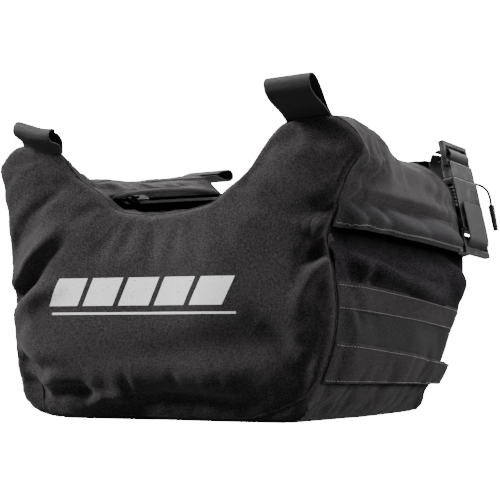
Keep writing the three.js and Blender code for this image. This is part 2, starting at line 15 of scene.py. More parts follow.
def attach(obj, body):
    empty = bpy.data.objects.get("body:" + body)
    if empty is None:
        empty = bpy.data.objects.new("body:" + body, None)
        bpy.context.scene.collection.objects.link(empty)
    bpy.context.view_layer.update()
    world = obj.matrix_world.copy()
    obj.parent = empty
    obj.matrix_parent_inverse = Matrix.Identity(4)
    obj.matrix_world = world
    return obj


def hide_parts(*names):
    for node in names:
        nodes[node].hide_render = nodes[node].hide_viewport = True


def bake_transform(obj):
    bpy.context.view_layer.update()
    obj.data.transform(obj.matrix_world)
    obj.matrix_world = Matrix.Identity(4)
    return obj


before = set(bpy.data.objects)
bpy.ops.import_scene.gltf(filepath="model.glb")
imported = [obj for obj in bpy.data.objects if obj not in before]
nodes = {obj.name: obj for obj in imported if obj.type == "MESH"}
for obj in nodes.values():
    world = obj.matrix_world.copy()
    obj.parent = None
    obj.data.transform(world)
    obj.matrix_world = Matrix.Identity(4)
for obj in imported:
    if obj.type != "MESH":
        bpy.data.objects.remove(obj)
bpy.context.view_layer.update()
scene = bpy.context.scene
MM = 0.001

# Shared sizes, as the CAD frame has them.
HALF_DEPTH = 142 * MM
WEBBING_WIDTH = 50 * MM
WEBBING_THICK = 1.6 * MM
LINE_STEP = 3 * MM


# ---- small helpers -----------------------------------------------------------
def unit(rows):
    lengths = np.linalg.norm(rows, axis=-1, keepdims=True)
    return rows / np.maximum(lengths, 1e-12)


def smoothstep(value):
    t = np.clip(value, 0.0, 1.0)
    return t * t * (3 - 2 * t)


def positions(mesh):
    points = np.empty(len(mesh.vertices) * 3)
    mesh.vertices.foreach_get("co", points)
    return points.reshape(-1, 3)


def node_points(name):
    """A CAD node's vertices, each place once."""
    return np.unique(positions(nodes[name].data).round(5), axis=0)


def set_positions(mesh, points):
    mesh.vertices.foreach_set("co", points.astype(np.float32).ravel())
    mesh.update()


def vertex_normals(mesh):
    normals = np.empty(len(mesh.vertices) * 3)
    mesh.vertex_normals.foreach_get("vector", normals)
    return normals.reshape(-1, 3)


def paint(mesh, material):
    mesh.materials.clear()
    mesh.materials.append(material)


def new_object(name, data):
    made = bpy.data.objects.new(name, data)
    scene.collection.objects.link(made)
    return made


def mesh_from(name, points, faces, material, smooth=True, cloth=None):
    """An object from points and faces. cloth is each point's place on the flat cloth."""
    mesh = bpy.data.meshes.new(name)
    mesh.from_pydata([tuple(p) for p in points], [], faces)
    mesh.polygons.foreach_set("use_smooth", [smooth] * len(mesh.polygons))
    if cloth is not None:
        layer = mesh.attributes.new("cloth", "FLOAT_VECTOR", "POINT")
        layer.data.foreach_set("vector", np.asarray(cloth, np.float32).ravel())
    mesh.update()
    paint(mesh, material)
    return new_object(name, mesh)


def ring_faces(first, rings, sides, closed=False):
    """Faces between rings of points that follow one another. An open run gets two ends."""
    faces = []
    for i in range(rings if closed else rings - 1):
        a, b = first + i * sides, first + (i + 1) % rings * sides
        for k in range(sides):
            m = (k + 1) % sides
            faces.append((a + k, a + m, b + m, b + k))
    if not closed:
        last = first + (rings - 1) * sides
        faces.append(tuple(range(first, first + sides))[::-1])
        faces.append(tuple(range(last, last + sides)))
    return faces


def grid_faces(rows, columns):
    """Faces of a grid that has so many rows and columns of points."""
    return [(i * columns + j, i * columns + j + 1, (i + 1) * columns + j + 1,
             (i + 1) * columns + j) for i in range(rows - 1) for j in range(columns - 1)]


def modify(obj, kind, **settings):
    modifier = obj.modifiers.new(kind.lower(), kind)
    for key, value in settings.items():
        setattr(modifier, key, value)


def stand_for(piece, body, slot, *cad_nodes):
    """Attaches a piece to the body it rides on, and hides any CAD nodes it stands for. slot is not
    used.
    """
    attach(piece, body)
    if cad_nodes:
        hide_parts(*cad_nodes)


def nearest_in(points):
    """A search tree of points."""
    tree = KDTree(len(points))
    for i, place in enumerate(points):
        tree.insert(place, i)
    tree.balance()
    return tree


def catmull(rows, step, closed=False):
    """A smooth curve through rows. The first three columns are its places; any others
    are carried along it."""
    rows = np.asarray(rows, float)
    count = len(rows)
    spans = count if closed else count - 1
    made = []
    for i in range(spans):
        if closed:
            a, b, c, d = (rows[(i + k) % count] for k in (-1, 0, 1, 2))
        else:
            b, c = rows[i], rows[i + 1]
            a = rows[i - 1] if i else 2 * b - c
            d = rows[i + 2] if i + 2 < count else 2 * c - b
        parts = max(1, round(float(np.linalg.norm((c - b)[:3])) / step))
        for k in range(parts):
            t = k / parts
            made.append(0.5 * (2 * b + (c - a) * t + (2 * a - 5 * b + 4 * c - d) * t * t
                               + (3 * b - a - 3 * c + d) * t ** 3))
    if not closed:
        made.append(rows[-1])
    return np.array(made)


def path_lengths(points):
    steps = np.linalg.norm(np.diff(points, axis=0), axis=1)
    return np.concatenate([[0.0], np.cumsum(steps)])


def headings(points, closed=False):
    if closed:
        return unit(np.roll(points, -1, axis=0) - np.roll(points, 1, axis=0))
    return unit(np.gradient(points, axis=0))


# ---- camera, light and floor -------------------------------------------------
# The camera as fitted to the photo: turn, height and tilt in degrees, and distance.
VIEW_ANGLES = (29.61, -2.15, -0.24)
VIEW_TARGET = Vector((0.23902, -0.39919, 0.15798))
VIEW_DISTANCE = 1.60878
LENS = 139.5
# The white surroundings. Camera rays see a far brighter world than the bag is lit by.
WORLD_LIGHT, WORLD_GLOSS, BACKDROP = 0.16, 0.55, 20
FLOOR_GREY, FLOOR_GLOW, FLOOR_GLOW_SHARE = 0.16, 22, 0.9
WHITE = (1, 1, 1, 1)
# Each light's name, place, target, size in metres and power in watts.
LIGHTS = (("overhead", (0.5, 0.3, 2.3), (0, 0, 0.2), (1.2, 1.2), 57),
          ("right_side", (2.3, 0.5, 0.7), (0.1, 0, 0.12), (0.7, 0.7), 54),
          ("behind", (-0.4, 2.6, 1.3), (0, 0, 0.25), (2.0, 1.0), 45),
          ("key", (-2.2, -1.3, 2.1), (0, 0, 0.15), (0.8, 0.8), 265))


def add_camera():
    data = bpy.data.cameras.new("view")
    data.lens = LENS
    data.clip_start, data.clip_end = 0.05, 30
    azimuth, elevation, roll = (math.radians(a) for a in VIEW_ANGLES)
    back = Vector((math.sin(azimuth) * math.cos(elevation),
                   -math.cos(azimuth) * math.cos(elevation), math.sin(elevation)))
    right = (-back).cross(Vector((0, 0, 1))).normalized()
    up = right.cross(-back)
    turned_right = right * math.cos(roll) + up * math.sin(roll)
    turned_up = up * math.cos(roll) - right * math.sin(roll)
    camera = new_object("view", data)
    turn = Matrix((turned_right, turned_up, back)).transposed()
    place = Matrix.Translation(VIEW_TARGET + back * VIEW_DISTANCE)
    camera.matrix_world = place @ turn.to_4x4()
    scene.camera = camera


def add_area_light(name, place, target, size, power):
    data = bpy.data.lights.new(name, "AREA")
    data.shape = "RECTANGLE"
    data.size, data.size_y = size
    data.energy = power
    light = new_object(name, data)
    light.location = place
    light.rotation_mode = "QUATERNION"
    light.rotation_quaternion = (Vector(target) - Vector(place)).to_track_quat("-Z", "Y")


def node(tree, kind, values=None, **settings):
    """A shader node. values are set on its inputs, or linked to them if they are sockets."""
    made = tree.nodes.new(kind)
    for key, value in settings.items():
        setattr(made, key, value)
    set_inputs(tree, made, values or {})
    return made


def set_inputs(tree, made, values):
    for key, value in values.items():
        socket = made.inputs[key]
        if isinstance(value, bpy.types.NodeSocket):
            tree.links.new(value, socket)
        else:
            socket.default_value = value


def math_node(tree, operation, *values):
    return node(tree, "ShaderNodeMath", dict(enumerate(values)),
                operation=operation).outputs[0]


def ramp(tree, value, stops):
    """A colour ramp. stops are (place, grey or colour) pairs."""
    made = tree.nodes.new("ShaderNodeValToRGB")
    tree.links.new(value, made.inputs["Fac"])
    elements = made.color_ramp.elements
    while len(elements) < len(stops):
        elements.new(0.5)
    for element, (place, colour) in zip(elements, stops):
        element.position = place
        grey = isinstance(colour, (int, float))
        element.color = (colour, colour, colour, 1) if grey else (*colour, 1)
    return made.outputs["Color"]


def camera_mix(tree, share, lit, seen, output):
    """Shows camera rays so much of the seen shader, and every other ray the lit one."""
    mixed = node(tree, "ShaderNodeMixShader", {0: share, 1: lit.outputs[0],
                                               2: seen.outputs[0]})
    node(tree, output, {"Surface": mixed.outputs[0]})


def light_world():
    scene.world = bpy.data.worlds.new("studio")
    scene.world.use_nodes = True
    tree = scene.world.node_tree
    tree.nodes.clear()
    path = node(tree, "ShaderNodeLightPath").outputs
    glossy = math_node(tree, "MULTIPLY_ADD", path["Is Glossy Ray"], WORLD_GLOSS, WORLD_LIGHT)
    lit, backdrop = (node(tree, "ShaderNodeBackground", {"Color": WHITE, "Strength": value})
                     for value in (glossy, BACKDROP))
    camera_mix(tree, path["Is Camera Ray"], lit, backdrop, "ShaderNodeOutputWorld")


def floor_material():
    material = bpy.data.materials.new("floor_white")
    material.use_nodes = True
    tree = material.node_tree
    tree.nodes.clear()
    seen = node(tree, "ShaderNodeLightPath").outputs["Is Camera Ray"]
    matt = node(tree, "ShaderNodeBsdfDiffuse", {"Color": (*(FLOOR_GREY,) * 3, 1)})
    glow = node(tree, "ShaderNodeEmission", {"Color": WHITE, "Strength": FLOOR_GLOW})
    share = math_node(tree, "MULTIPLY", seen, FLOOR_GLOW_SHARE)
    camera_mix(tree, share, matt, glow, "ShaderNodeOutputMaterial")
    return material


def add_floor():
    half = 8
    corners = [(-half, -half, 0), (half, -half, 0), (half, half, 0), (-half, half, 0)]
    mesh_from("floor", corners, [(0, 1, 2, 3)], floor_material())


# ---- materials ---------------------------------------------------------------
CANVAS_PITCH = 1.5 * MM
WEFT_PITCH = 0.8 * MM
BRAID_PITCH = 1.1 * MM
PRINT_BLOCK_PITCH = 43.6 * MM
SELVEDGE = 23.6 * MM


def principled(name, **inputs):
    material = bpy.data.materials.new(name)
    material.use_nodes = True
    tree = material.node_tree
    shader = tree.nodes["Principled BSDF"]
    set_inputs(tree, shader, {key.replace("_", " "): inputs[key] for key in inputs})
    return material, tree, shader


def finish(tree, shader, colour, height, strength, depth, normal=None, roughness=None):
    """Links a colour, a bump and, where it varies, a roughness to the shader."""
    values = {"Height": height, "Strength": strength, "Distance": depth}
    if normal is not None:
        values["Normal"] = normal
    bump = node(tree, "ShaderNodeBump", values)
    linked = {"Base Color": colour, "Normal": bump.outputs[0]}
    if roughness is not None:
        linked["Roughness"] = roughness
    set_inputs(tree, shader, linked)


def object_place(tree):
    return node(tree, "ShaderNodeTexCoord").outputs["Object"]


def cloth_place(tree):
    return node(tree, "ShaderNodeAttribute", attribute_name="cloth").outputs["Vector"]


def axes_of(tree, vector):
    return node(tree, "ShaderNodeSeparateXYZ", {0: vector}).outputs


def noise(tree, place, scale, detail=2.0, output="Fac", **values):
    values.update(Vector=place, Scale=scale, Detail=detail)
    return node(tree, "ShaderNodeTexNoise", values).outputs[output]


def mixed_colour(tree, share, first, second):
    return node(tree, "ShaderNodeMix", {"Factor": share, "A": first, "B": second},
                data_type="RGBA").outputs["Result"]


def vector_node(tree, operation, first, second):
    return node(tree, "ShaderNodeVectorMath", {0: first, 1: second}, operation=operation)


def wave(tree, way, value, period):
    """A sine or cosine of value, once every period."""
    return math_node(tree, way, math_node(tree, "MULTIPLY", value, 2 * math.pi / period))


def woven(tree, source, period):
    """Sine waves across x, y and z, which make a plain weave on any face."""
    x, y, z = (wave(tree, "SINE", axis, period) for axis in axes_of(tree, source))
    pairs = [math_node(tree, "MULTIPLY", a, b) for a, b in ((x, z), (y, z), (x, y))]
    return math_node(tree, "ADD", math_node(tree, "ADD", pairs[0], pairs[1]), pairs[2])


def canvas_material(name, dark, light, sheen=0.12, painted_top_shade=False):
    """Heavy brushed cotton canvas: plain weave, nap, lint and slow changes of tone. With
    painted_top_shade, the cloth is darker along its top edge: painted shade for the flap's shadow."""
    material, tree, shader = principled(
        name, Roughness=0.92, Sheen_Weight=sheen, Sheen_Roughness=0.45,
        Sheen_Tint=(0.8, 0.78, 0.8, 1), Specular_IOR_Level=0.15, IOR=1.0 if painted_top_shade else 1.5)
    place = object_place(tree)
    wander = noise(tree, place, 60.0, output="Color")
    bent = vector_node(tree, "MULTIPLY", wander, (0.0022,) * 3).outputs[0]
    weave = woven(tree, vector_node(tree, "ADD", place, bent).outputs[0], CANVAS_PITCH)
    nap = noise(tree, place, 700.0, 4.0, Roughness=0.7)
    fade = noise(tree, place, 9.0, 5.0, Roughness=0.6)
    blotch = noise(tree, place, 560.0, 3.0, Roughness=0.75)
    mix = -1.65
    for layer, share in ((fade, 0.7), (nap, 1.0), (blotch, 2.6), (weave, 0.06)):
        mix = math_node(tree, "MULTIPLY_ADD", layer, share, mix)
    base = ramp(tree, mix, [(0.2, dark), (0.85, light)])
    if painted_top_shade:
        # Painted shade for the flap's shadow: a twentieth of the tone for the top 13 mm, full tone
        # from 36 mm down.
        down = math_node(tree, "MULTIPLY", axes_of(tree, cloth_place(tree))["X"], 20)
        shade = ramp(tree, down, [(0.26, 0.05), (0.72, 1.0)])
        base = vector_node(tree, "MULTIPLY", base, shade).outputs[0]
    lint = node(tree, "ShaderNodeTexVoronoi", {"Vector": place, "Scale": 260.0})
    speck = math_node(tree, "LESS_THAN", lint.outputs["Distance"], 0.09)
    rare = math_node(tree, "GREATER_THAN", noise(tree, place, 45.0), 0.56)
    speck = math_node(tree, "MULTIPLY", math_node(tree, "MULTIPLY", speck, rare), 0.1)
    colour = mixed_colour(tree, speck, base, (0.35, 0.34, 0.34, 1))
    height = math_node(tree, "MULTIPLY_ADD", weave, 0.35, nap)
    finish(tree, shader, colour, height, 0.55, 0.5 * MM)
    return material


def between(tree, value, low, high):
    """1 where value lies between low and high, and 0 elsewhere."""
    above = math_node(tree, "GREATER_THAN", value, low)
    return math_node(tree, "MULTIPLY", above, math_node(tree, "LESS_THAN", value, high))


def add_print(material):
    """A generic white mark on the front: five slanted blocks over a thin rule."""
    tree = material.node_tree
    shader = tree.nodes["Principled BSDF"]
    normal = node(tree, "ShaderNodeNewGeometry").outputs["Normal"]
    facing = math_node(tree, "LESS_THAN", axes_of(tree, normal)["Y"], -0.5)
    place = object_place(tree)
    x, _, z = axes_of(tree, place)
    slanted = math_node(tree, "MULTIPLY_ADD", z, -0.42, x)
    turn = math_node(tree, "FRACT", math_node(tree, "MULTIPLY_ADD", slanted,
                                              1 / PRINT_BLOCK_PITCH, 4.17))
    blocks = math_node(tree, "LESS_THAN", turn, 0.84)
    blocks = math_node(tree, "MULTIPLY", blocks, between(tree, slanted, -0.18, 0.0335))
    blocks = math_node(tree, "MULTIPLY", blocks, between(tree, z, 0.1155, 0.1435))
    rule = math_node(tree, "MULTIPLY", between(tree, z, 0.1065, 0.1087),
                     between(tree, x, -0.1285, 0.0925))
    chips = noise(tree, place, 420.0, 3.0)
    mark = math_node(tree, "MULTIPLY", math_node(tree, "MAXIMUM", blocks, rule), facing)
    mark = math_node(tree, "MULTIPLY", mark, math_node(tree, "LESS_THAN", chips, 0.68))
    canvas_colour = shader.inputs["Base Color"].links[0].from_socket
    tone = ramp(tree, chips, [(0.3, 0.8), (0.7, 0.95)])
    set_inputs(tree, shader, {
        "Base Color": mixed_colour(tree, mark, canvas_colour, tone),
        "Roughness": math_node(tree, "MULTIPLY_ADD", mark, -0.35, 0.92)})


def webbing_material(name, dark, light, rib=1.25 * MM, sheen=0.1, gloss=0.3):
    """Nylon webbing: ribs along its length, fine weft across it, and firm selvedges."""
    material, tree, shader = principled(
        name, Roughness=0.55, Sheen_Weight=sheen, Sheen_Roughness=0.35,
        Specular_IOR_Level=gloss, IOR=1.5 if gloss else 1.0)
    cloth = cloth_place(tree)
    across, along, _ = axes_of(tree, cloth)
    ribs = wave(tree, "COSINE", across, rib)
    weft = wave(tree, "COSINE", along, WEFT_PITCH)
    height = math_node(tree, "MULTIPLY_ADD", weft, 0.35, ribs)
    edge = math_node(tree, "GREATER_THAN", math_node(tree, "ABSOLUTE", across), SELVEDGE)
    fuzz = noise(tree, cloth, 900.0, 3.0)
    tone = math_node(tree, "MULTIPLY_ADD", height, 0.14,
                     math_node(tree, "MULTIPLY", fuzz, 0.9))
    tone = math_node(tree, "MULTIPLY_ADD", edge, 0.55, tone)
    base = ramp(tree, tone, [(0.25, dark), (1.0, light)])
    height = math_node(tree, "MULTIPLY_ADD", fuzz, 0.5, height)
    finish(tree, shader, base, height, 0.6, 0.4 * MM)
    return material


def plastic_material(name, dark, light, roughness=0.38, gloss=0.2):
    """Moulded nylon: fine grain, dull flats and paler edges, partly rubbed wear and partly a
    painted highlight.
    """
    material, tree, shader = principled(name, Roughness=roughness,
                                        Specular_IOR_Level=gloss, IOR=1.5)
    place = object_place(tree)
    grain = noise(tree, place, 2600.0)
    blotch = noise(tree, place, 70.0, 4.0)
    bevel = node(tree, "ShaderNodeBevel", {"Radius": 1.1 * MM}, samples=4).outputs[0]
    flat = node(tree, "ShaderNodeNewGeometry").outputs["Normal"]
    flatness = vector_node(tree, "DOT_PRODUCT", bevel, flat).outputs["Value"]
    # Paler edges: partly rubbed wear, partly a painted highlight where the edges would catch
    # light.
    edge_wear_and_highlight = ramp(tree, flatness, [(0.6, 1.0), (0.98, 0.0)])
    tone = math_node(tree, "MULTIPLY_ADD", edge_wear_and_highlight, 0.75,
                     math_node(tree, "MULTIPLY", blotch, 0.42))
    base = ramp(tree, tone, [(0.2, dark), (0.9, light)])
    rough = math_node(tree, "MULTIPLY_ADD", blotch, 0.3, roughness - 0.12)
    finish(tree, shader, base, grain, 0.25, 0.2 * MM, bevel, rough)
    return material


def metal_material(name):
    """Black-nickelled zinc with light scratches."""
    material, tree, shader = principled(name, Roughness=0.6, Specular_IOR_Level=0.05)
    scratch = noise(tree, object_place(tree), 900.0, 3.0, Distortion=2.0)
    base = ramp(tree, scratch, [(0.35, 0.002), (0.7, 0.006)])
    bevel = node(tree, "ShaderNodeBevel", {"Radius": 0.4 * MM}, samples=4).outputs[0]
    rough = math_node(tree, "MULTIPLY_ADD", scratch, 0.3, 0.4)
    finish(tree, shader, base, scratch, 0.1, 0.2 * MM, bevel, rough)
    return material


def thread_material(name, colour):
    """Twisted sewing thread."""
    material, tree, shader = principled(name, Roughness=0.6, Sheen_Weight=0.3)
    twist = noise(tree, object_place(tree), 1500.0)
    darker = tuple(c * 0.5 for c in colour)
    base = ramp(tree, twist, [(0.35, darker), (0.65, colour)])
    set_inputs(tree, shader, {"Base Color": base})
    return material


def braid_material(name):
    """Round braided cord: two sets of strands crossing on a slant."""
    material, tree, shader = principled(name, Roughness=0.6)
    around, along, _ = axes_of(tree, cloth_place(tree))
    strands = [wave(tree, "COSINE", math_node(tree, way, around, along), BRAID_PITCH)
               for way in ("ADD", "SUBTRACT")]
    height = math_node(tree, "MAXIMUM", strands[0], strands[1])
    base = ramp(tree, height, [(0.0, (0.006, 0.006, 0.007)), (1.0, (0.035, 0.035, 0.037))])
    finish(tree, shader, base, height, 0.7, 0.3 * MM)
    return material


CANVAS_TONES = ((0.009, 0.008, 0.0088), (0.039, 0.035, 0.037))
canvas = canvas_material("canvas", *CANVAS_TONES)
printed_canvas = canvas_material("canvas_printed", *CANVAS_TONES)
add_print(printed_canvas)
pocket_canvas = canvas_material("pocket_canvas", (0.008, 0.007, 0.008),
                                (0.028, 0.026, 0.028))
# The pocket's canvas, with painted shade along its top edge under the flap.
painted_shade_canvas = canvas_material("painted_shade_canvas", (0.006, 0.0055, 0.006),
                                (0.034, 0.031, 0.034), sheen=0.04, painted_top_shade=True)
webbing = webbing_material("webbing", (0.003, 0.003, 0.0035), (0.02, 0.02, 0.021))
zip_cloth = webbing_material("zip_cloth", (0.0003,) * 3, (0.0012,) * 3,
                             0.9 * MM, sheen=0, gloss=0)
nylon = plastic_material("buckle_nylon", (0.002,) * 3, (0.4,) * 3, 0.36)
# The prongs' paler grey is a painted highlight: the glint on their ribbed pads, on the same black
# nylon as the housing.
highlit_grip_nylon = plastic_material("buckle_grips", (0.08,) * 3, (0.4,) * 3, 0.4)
coil_nylon = plastic_material("zip_coil", (0.004,) * 3, (0.03,) * 3, 0.6, gloss=0.1)
rubber = plastic_material("cord_rubber", (0.012, 0.012, 0.013), (0.05, 0.05, 0.055), 0.6)
dark_metal = metal_material("dark_metal")
dull_thread = thread_material("dull_thread", (0.2, 0.19, 0.2))
calico = canvas_material("fill_cloth", (0.25, 0.22, 0.18), (0.42, 0.38, 0.31))
cord_weave = braid_material("cord_weave")


# ---- cord --------------------------------------------------------------------
CORD_DIAMETER = 3 * MM
CORD_ROUTE = np.array([
    (161, 156.2, 235), (161, 160, 235.2), (160.5, 165.5, 236.8), (159.6, 172, 239.8),
    (159, 179, 243.4), (158.8, 187, 246.4), (159, 195, 248.8), (159.6, 203, 250.6),
    (160.6, 211, 251.8), (162.2, 218.6, 252.4), (164.8, 225.4, 253), (169.8, 231, 253.6),
    (175.6, 235, 252.8), (181, 237.6, 250), (185.2, 239.2, 245.6), (187.6, 240, 240),
    (188.8, 240.4, 234.4), (189.2, 240.6, 229.4),
]) * MM


def tube(name, points, radius, sides, material, closed=False):
    """A tube along points, with the place along it and round it kept for its weave."""
    forward = headings(points, closed)
    side = unit(np.cross(forward[0], (0.3, 0.5, 0.81)))
    rings, cloth = [], []
    for point, along, place in zip(points, forward, path_lengths(points)):
        side = unit(side - along * np.dot(side, along))
        other = np.cross(along, side)
        for k in range(sides):
            turn = 2 * math.pi * k / sides
            rings.append(point + radius * (math.cos(turn) * side + math.sin(turn) * other))
            cloth.append((radius * turn, place, 0))
    faces = ring_faces(0, len(points), sides, closed)
    return mesh_from(name, rings, faces, material, cloth=cloth)


def add_cord():
    route = catmull(CORD_ROUTE, 1.2 * MM)
    cord = tube("back_cord", route, CORD_DIAMETER / 2, 12, cord_weave)
    stand_for(cord, "back_slider", "webbing", "back_zip_cord")


# ---- the canvas shell --------------------------------------------------------
PANELS = ("panel_front", "panel_back", "panel_base", "gusset_right", "gusset_left",
          "panel_trough")
LOOP_WORDS = ("back_right", "back_left", "front_right", "front_left")
SHELL_VOXEL = 4.5 * MM
FILL_VOXEL = 9 * MM
FRONT_FACE = -150 * MM
WELT_RADIUS = 0.75 * MM
# Heights above which the front seam follows the outline, on the right and on the left.
CORNER_TOPS = (46 * MM, 72 * MM)


def joined_panels():
    """One mesh with a copy of every panel in it."""
    gathered = bmesh.new()
    for name in PANELS:
        gathered.from_mesh(nodes[name].data)
    mesh = bpy.data.meshes.new("bag_shell")
    gathered.to_mesh(mesh)
    gathered.free()
    return mesh


def keep_outer_skin(mesh):
    """The remeshed panels have an inner and an outer skin: this keeps the larger one."""
    shape = bmesh.new()
    shape.from_mesh(mesh)
    left = set(shape.verts)
    islands = []
    while left:
        stack = [left.pop()]
        island = set(stack)
        while stack:
            for edge in stack.pop().link_edges:
                for vert in edge.verts:
                    if vert in left:
                        left.discard(vert)
                        island.add(vert)
                        stack.append(vert)
        islands.append(island)
    islands.sort(key=lambda island: max(v.co.x for v in island) - min(v.co.x for v in island))
    for island in islands[:-1]:
        bmesh.ops.delete(shape, geom=list(island), context="VERTS")
    shape.to_mesh(mesh)
    shape.free()


def applied(obj, kind, **settings):
    """Adds a modifier and applies it to the object's mesh."""
    modify(obj, kind, **settings)
    graph = bpy.context.evaluated_depsgraph_get()
    baked = bpy.data.meshes.new_from_object(obj.evaluated_get(graph))
    obj.modifiers.clear()
    obj.data = baked


def remeshed(obj, voxel):
    applied(obj, "REMESH", mode="VOXEL", voxel_size=voxel, use_smooth_shade=True)


def relaxed(obj):
    applied(obj, "SMOOTH", iterations=4, factor=0.5)


def distances(points, line):
    """Each point's distance from the nearest point of a dense line."""
    tree = nearest_in(line)
    return np.array([tree.find(p)[2] for p in points])


def chained(points):
    """Orders loose points into a closed ring, nearest next."""
    left = [np.array(p) for p in points]
    ring = [left.pop(0)]
    while left:
        gaps = [np.linalg.norm(p - ring[-1]) for p in left]
        ring.append(left.pop(int(np.argmin(gaps))))
    return np.array(ring)


def end_seam(name, side):
    """The ring where an end panel meets the gussets, the trough and the base."""
    points = node_points(name)
    level = points[:, 1].max() if side < 0 else points[:, 1].min()
    return catmull(chained(points[abs(points[:, 1] - level) < 0.2 * MM]), LINE_STEP, True)


def long_seam(first, second):
    """The line from front to back where two shell panels meet, on their outer faces."""
    a, b = node_points(first), node_points(second)
    near = np.array([np.linalg.norm(b - p, axis=1).min() < 0.8 * MM for p in a])
    found = a[near]
    reach = np.hypot(found[:, 0], found[:, 2] - 0.12)
    line = []
    for level in np.unique(found[:, 1].round(3)):
        row = np.flatnonzero(abs(found[:, 1] - level) < 0.6 * MM)
        line.append(found[row[np.argmax(reach[row])]])
    return catmull(line, LINE_STEP)


SEAMS = {"front": end_seam("panel_front", -1), "back": end_seam("panel_back", 1)}
for seam_word, shell_panel in (("crest", "panel_trough"), ("base", "panel_base")):
    for side_word in ("right", "left"):
        SEAMS[f"{seam_word}_{side_word}"] = long_seam(f"gusset_{side_word}", shell_panel)


def on_front(places):
    return catmull([(x * MM, FRONT_FACE, z * MM) for x, z in places], LINE_STEP)


# Where the front panel's seam leaves the outline, and rounds the bottom corners.
RIGHT_CORNER = on_front([(171, 44), (164, 31), (152, 23), (130, 14), (110, 7), (88, 1)])
LEFT_CORNER = on_front([(-189, 70), (-182, 62), (-172, 56), (-160, 47), (-153, 34),
                        (-150, 18), (-148, 1)])


def front_welt_line():
    """The front seam as it is sewn: the outline above, and round corners below."""
    ring = SEAMS["front"]
    kept = ring[:, 2] > np.where(ring[:, 0] > 0, *CORNER_TOPS)
    start = int(np.flatnonzero(kept & ~np.roll(kept, 1))[0])
    upper = np.roll(ring, -start, axis=0)[:int(kept.sum())]
    if upper[0, 0] > 0:
        upper = upper[::-1]
    return np.concatenate([upper, RIGHT_CORNER, LEFT_CORNER[::-1]])


def hardware_points():
    """Places where pieces that keep their CAD shape touch the cloth."""
    gathered = [node_points("main_zip_tape"), node_points("back_zip_tape")]
    for word in LOOP_WORDS:
        points = node_points(f"grab_loop_{word}")
        gathered.append(points[abs(points[:, 1]) < 0.16])
    straps = np.concatenate([node_points("upper_strap"), node_points("lower_strap")])
    gathered.append(straps[straps[:, 1] < 0.156])
    return np.concatenate(gathered)


def inflate(obj, held, pressure, slack, frames, cap):
    """Blows a closed cloth up a little, then limits how far each point has moved."""
    before = positions(obj.data)
    group = obj.vertex_groups.new(name="held")
    rounded = held.round(1)
    for level in np.unique(rounded[rounded > 0]):
        members = np.flatnonzero(rounded == level)
        group.add([int(i) for i in members], float(level), "REPLACE")
    modifier = obj.modifiers.new("cloth", "CLOTH")
    cloth = modifier.settings
    cloth.quality = 4
    cloth.use_pressure = True
    cloth.uniform_pressure_force = pressure
    cloth.vertex_group_mass = "held"
    cloth.shrink_min = -slack
    cloth.bending_stiffness = 0.6
    cloth.effector_weights.gravity = 0
    modifier.collision_settings.use_collision = False
    for step in range(1, frames + 1):
        scene.frame_set(step)
    graph = bpy.context.evaluated_depsgraph_get()
    after = positions(obj.evaluated_get(graph).data)
    obj.modifiers.clear()
    obj.vertex_groups.clear()
    scene.frame_set(1)
    moved = after - before
    length = np.linalg.norm(moved, axis=1, keepdims=True)
    moved *= np.minimum(1.0, cap[:, None] / np.maximum(length, 1e-9))
    set_positions(obj.data, before + moved)


def region_cap(points):
    """How far the sand may push each part of the shell out."""
    cap = np.full(len(points), 5 * MM)
    cap[abs(points[:, 1]) > 143 * MM] = 9 * MM
    return cap


def fold(points, normals, line, width, depth, drop):
    """Pushes the points along their normals beside a line, out where depth is above 0.
    Distances leave out axis drop, and the fold fades towards both ends of its line."""
    kept = [axis for axis in range(3) if axis != drop]
    dense = catmull(line, LINE_STEP)[:, :2]
    along = path_lengths(dense)
    along /= along[-1]
    flat = points[:, kept]
    near = ((flat > dense.min(0) - 2.5 * width) & (flat < dense.max(0) + 2.5 * width)).all(1)
    chosen = np.flatnonzero(near)
    gaps = np.linalg.norm(flat[chosen, None] - dense[None], axis=2)
    nearest = gaps.argmin(1)
    gap = gaps[np.arange(len(chosen)), nearest]
    fade = np.sin(math.pi * (0.12 + 0.76 * along[nearest]))
    push = depth * fade * np.exp(-(gap / width) ** 2)
    points[chosen] += normals[chosen] * push[:, None]


def flat_line(places):
    """A fold's line, from millimetres, with a third column that catmull carries along."""
    return [(a * MM, b * MM, 0.0) for a, b in places]


